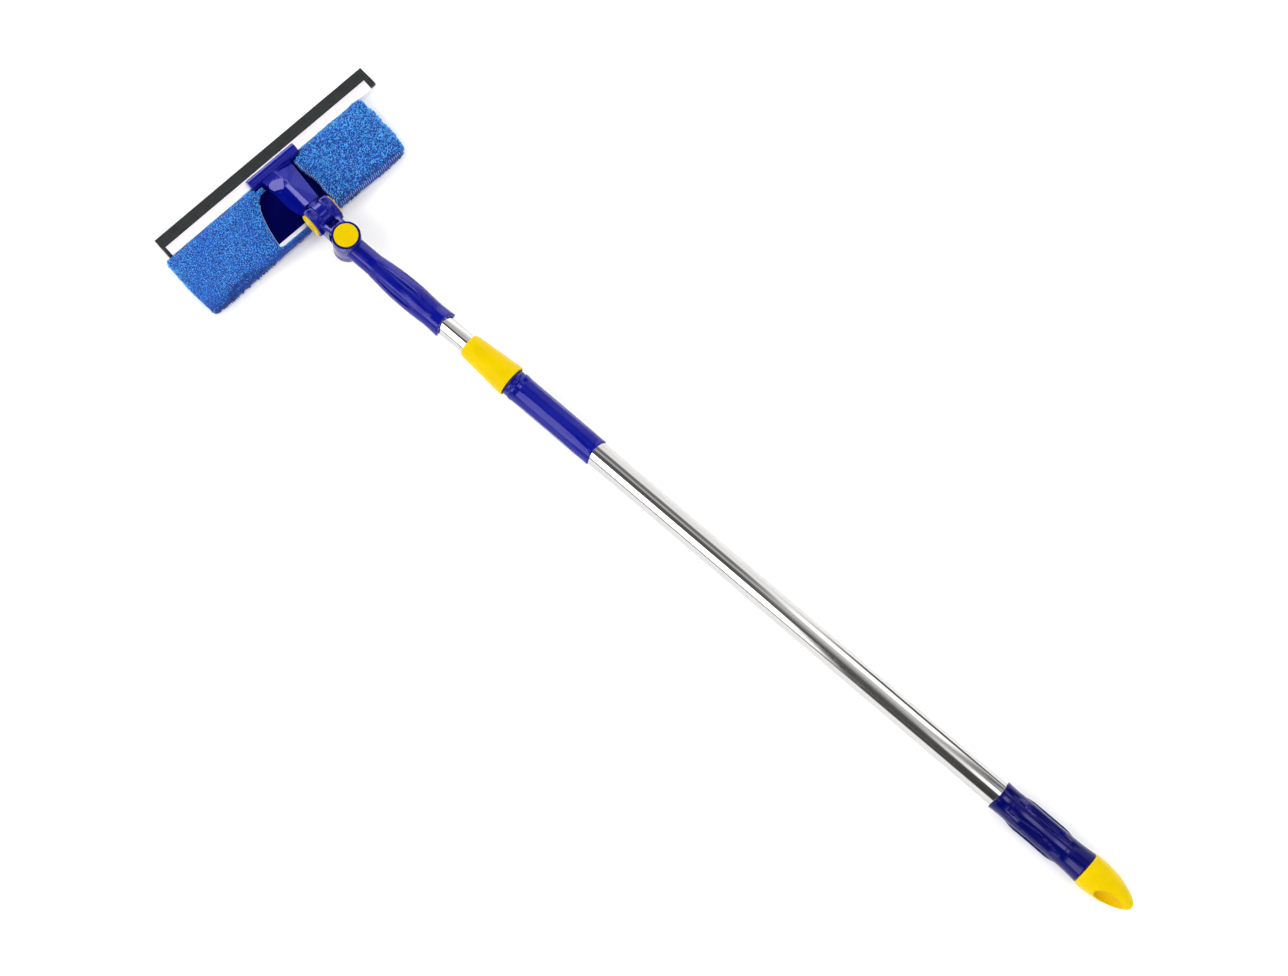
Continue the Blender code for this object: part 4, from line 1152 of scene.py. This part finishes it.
def strands(runs, radius, sides=5):
    """Closed tubes along polylines, as one mesh."""
    verts, faces = [], []
    for run in runs:
        base = len(verts)
        for index, here in enumerate(run):
            ahead = Vector(run[min(index + 1, len(run) - 1)]) - Vector(run[max(index - 1, 0)])
            across = ahead.cross(UP).normalized()
            over = across.cross(ahead).normalized()
            thin = 0.55 if index in (0, len(run) - 1) else 1.0
            for corner in range(sides):
                angle = TAU * corner / sides
                outward = across * math.cos(angle) + over * math.sin(angle)
                verts.append(Vector(here) + radius * thin * outward)
        for row in range(len(run) - 1):
            faces += bridge(base + row * sides, base + (row + 1) * sides, sides)
        faces.append(tuple(base + i for i in reversed(range(sides))))
        faces.append(tuple(base + (len(run) - 1) * sides + i for i in range(sides)))
    return mesh_from(verts, faces)


def make_stitches(sleeve):
    """Overlock stitches on the right part's two edges, and the opening's bound left edge."""
    def surface(x, y):
        hit, place, _, _ = sleeve.ray_cast(Vector((x, y, 40)) * MM, Vector((0, 0, -1)))
        return place.z / MM if hit else TOP - 1.0

    rng = random.Random(8)
    ticks = []
    for corners, inward, proud in ((
        [
            (22.4, 9.5), (20.4, 18), (20.4, 25), (21.2, 32), (20.2, 40), (18.8, 47), (18.0, 54),
            (18.0, 63),
        ],
        -1, 0.9,
    ), ([(24.0, 3.0), (97.0, 3.0)], 1, 1.2)):
        path = densify(corners, 2.2)
        for here, there in zip(path, path[1:]):
            ahead = Vector((there[0] - here[0], there[1] - here[1])).normalized()
            across = Vector((-ahead.y, ahead.x)) * inward
            start = Vector(here) + across * rng.uniform(-0.1, 0.3)
            end = Vector(here) + across * rng.uniform(2.4, 3.1) + ahead * rng.uniform(0.5, 1.1)
            run = []
            for t in (0.0, 0.35, 0.7, 1.0):
                spot = start.lerp(end, t)
                level = surface(spot.x, spot.y) + proud
                run.append((spot.x, spot.y, level - 0.7 * (2 * t - 1) ** 2))
            ticks.append(run)
    piece(
        "sleeve_overlock", strands(ticks, 0.34), HEAD, "head", THREAD_PALE, angle=0,
    )
    edge = soften(
        [(-33.0, 52.2), (-36.1, 48.8), (-40.2, 36.8), (-43.2, 24.4), (-45.3, 10.5)], 5, 5,
    )
    binding = []
    for x, y in densify(edge, 1.0):
        level = surface(x - 1.0, y)
        binding.append((x - 0.1, y, max(level - 1.0, 10.2)))
    piece(
        "sleeve_binding", strands([binding], 0.5, 8), HEAD, "head", THREAD_DARK,
        angle=0,
    )
    piping = [(x + 0.75, y, z - 0.1) for x, y, z in binding]
    piece(
        "sleeve_piping", strands([piping], 0.32, 8), HEAD, "head", THREAD_PALE,
        angle=0,
    )


# ---------------------------------------------------------------- studio


def make_studio():
    """A pale floor, and a world of soft light bands that run along the pole."""
    scene = bpy.context.scene
    scene.view_settings.view_transform = "Standard"
    world = bpy.data.worlds.new("studio")
    scene.world = world
    world.use_nodes = True
    nodes = Nodes(world.node_tree)
    background = nodes.tree.nodes["Background"]
    split = nodes.node("ShaderNodeSeparateXYZ")
    nodes.link(nodes.node("ShaderNodeTexCoord").outputs["Generated"], split.inputs[0])

    def round_pole(stops):
        """Levels by the angle round the world's Y, in degrees from straight up towards +X."""
        return nodes.ramp(share, [(angle / 360 + 0.5, level) for angle, level in stops], "EASE")

    def along_pole(stops):
        """Levels by how far a direction points along the world's Y, from -1 to 1."""
        return nodes.ramp(ahead, [(y / 2 + 0.5, level) for y, level in stops], "EASE")

    def mixed(factor, first, second):
        return nodes.mix("MIX", factor, first, second)

    angle = nodes.maths("ARCTAN2", split.outputs["X"], split.outputs["Z"])
    share = nodes.maths("MULTIPLY_ADD", angle, 1 / TAU, 0.5)
    ahead = nodes.maths("MULTIPLY_ADD", split.outputs["Y"], 0.5, 0.5)
    near = round_pole([
        (-125, 0.85), (-92, 0.85), (-84, 0.35), (-78, 0.6), (-71, 4.4), (-36, 4.4), (-29, 0.12),
        (-4, 0.1), (0, 0.35), (8, 0.55), (13, 0.5), (19, 0.2), (36, 0.2), (48, 1.03), (110, 1.03),
    ])
    crown = round_pole([
        (-125, 0.85), (-92, 0.85), (-84, 0.35), (-78, 0.6), (-71, 5.0), (-54, 5.0), (-46, 0.08),
        (30, 0.08), (44, 2.6), (110, 2.6),
    ])
    mid = round_pole([
        (-110, 1.9), (-94, 1.9), (-86, 0.3), (-74, 0.05), (-60, 0.11), (-40, 0.08), (-20, 0.13),
        (0, 0.4), (12, 0.65), (24, 0.75), (38, 1.8), (62, 1.8), (68, 0.4), (76, 0.1), (86, 0.1),
        (98, 0.6), (110, 1.0),
    ])
    far = round_pole([
        (-125, 0.9), (-100, 0.95), (-86, 0.2), (-72, 0.04), (-40, 0.07), (-20, 0.1), (-12, 0.8),
        (0, 1.0), (8, 0.7), (16, 0.5), (24, 0.45), (30, 0.1), (52, 0.08), (62, 0.2), (70, 0.9),
        (78, 0.25), (84, 0.1), (96, 0.1), (106, 1.1), (120, 1.7),
    ])
    end = round_pole([
        (-125, 1.0), (-98, 2.5), (-88, 0.5), (-78, 0.05), (-16, 0.05), (-9, 6.0), (8, 6.0),
        (16, 0.3), (24, 0.3), (32, 2.5), (42, 2.5), (50, 0.1), (94, 0.1), (106, 4.0), (124, 4.0),
    ])
    bare = round_pole([
        (-125, 0.85), (-92, 0.85), (-84, 0.35), (-78, 0.6), (-71, 4.4), (-22, 4.4), (-15, 0.1),
        (-6, 0.05), (0, 0.1), (7, 0.6), (34, 0.62), (48, 0.8), (110, 0.85),
    ])
    # the bands change along the pole, from its end to its crown
    light = end
    for low, high, further in (
        (0.024, 0.034, far), (0.044, 0.056, mid), (0.088, 0.106, near), (0.174, 0.180, bare),
        (0.195, 0.21, crown),
    ):
        light = mixed(along_pole([(low, 0.0), (high, 1.0)]), light, further)
    right = round_pole([(-48, 0.8), (-20, 0.5), (30, 0.3), (62, 0.3), (72, 1.6), (110, 1.9)])
    rearward = round_pole([
        (-124, 2.2), (-74, 2.2), (-68, 0.15), (-56, 0.15), (-50, 2.2), (-42, 2.2), (-34, 0.3),
        (34, 0.3), (42, 2.2), (52, 2.2), (58, 0.15), (72, 0.15), (78, 2.2), (124, 2.2),
    ])
    light = mixed(along_pole([(0.34, 0.0), (0.42, 1.0)]), light, right)
    light = mixed(along_pole([(0.76, 0.0), (0.80, 1.0)]), light, 0.5)
    light = mixed(along_pole([(-0.20, 1.0), (-0.04, 0.0)]), light, rearward)
    for low, high, first, last, level in (
        (-0.80, -0.62, -30, 36, 2.0), (0.86, 0.96, 20, 60, 7.5), (0.92, 0.97, 60, 100, 5.0),
        (0.55, 0.73, -45, -24, 8.5),
    ):
        across = round_pole([(first - 7, 0.0), (first, 1.0), (last, 1.0), (last + 7, 0.0)])
        along = along_pole(
            [(low - 0.05, 0.0), (low, 1.0), (high, 1.0), (min(1.0, high + 0.04), 0.0)],
        )
        light = mixed(nodes.maths("MULTIPLY", across, along), light, level)
    # the camera sees a plain backdrop; the bands are for light and reflections
    seen = nodes.node("ShaderNodeLightPath").outputs["Is Camera Ray"]
    nodes.link(mixed(seen, light, 0.9), background.inputs["Color"])
    background.inputs["Strength"].default_value = 1.3

    verts, faces = [], []
    steps, reach = 24, 6
    for i in range(steps + 1):
        for j in range(steps + 1):
            verts.append((-reach + 2 * reach * i / steps, -reach + 2 * reach * j / steps, 0))
    for i in range(steps):
        for j in range(steps):
            a = i * (steps + 1) + j
            faces.append((a, a + steps + 1, a + steps + 2, a + 1))
    floor_mesh = mesh_from(verts, faces, tidy=False)
    s = Shader("floor_look")
    s.colour(s.ramp(s.grain(3), [(0.3, (0.975, 0.975, 0.975)), (0.7, (0.985, 0.985, 0.985))]))
    s.set(Roughness=0.9, Specular_IOR_Level=0.1)
    floor_mesh.materials.append(s.made)
    floor = bpy.data.objects.new("floor", floor_mesh)
    scene.collection.objects.link(floor)


def make_camera():
    """Looks down at the tool from above its left side, at the photo's angle."""
    yaw, pitch, distance = math.radians(-48.92), math.radians(74.73), 4.05833
    target = Vector((0.002716, 0.043358, 0.0))
    back = Vector(
        (math.sin(yaw) * math.cos(pitch), -math.cos(yaw) * math.cos(pitch), math.sin(pitch)),
    )
    right = Vector((math.cos(yaw), math.sin(yaw), 0))
    data = bpy.data.cameras.new("camera")
    data.sensor_fit = "HORIZONTAL"
    data.sensor_width = 36.0
    data.lens = 125.78
    data.clip_end = 100.0
    camera = bpy.data.objects.new("camera", data)
    bpy.context.scene.collection.objects.link(camera)
    camera.matrix_world = local_frame(target + back * distance, right, back.cross(right), back)
    bpy.context.scene.camera = camera


make_camera()
make_studio()
make_tubes()
make_collar()
make_upper_grip()
make_lower_grip()
make_end_cap()
make_adaptor()
make_knuckle()
make_caps()
make_bracket()
make_plate()
make_edge_strip()
make_blade()
make_sleeve()
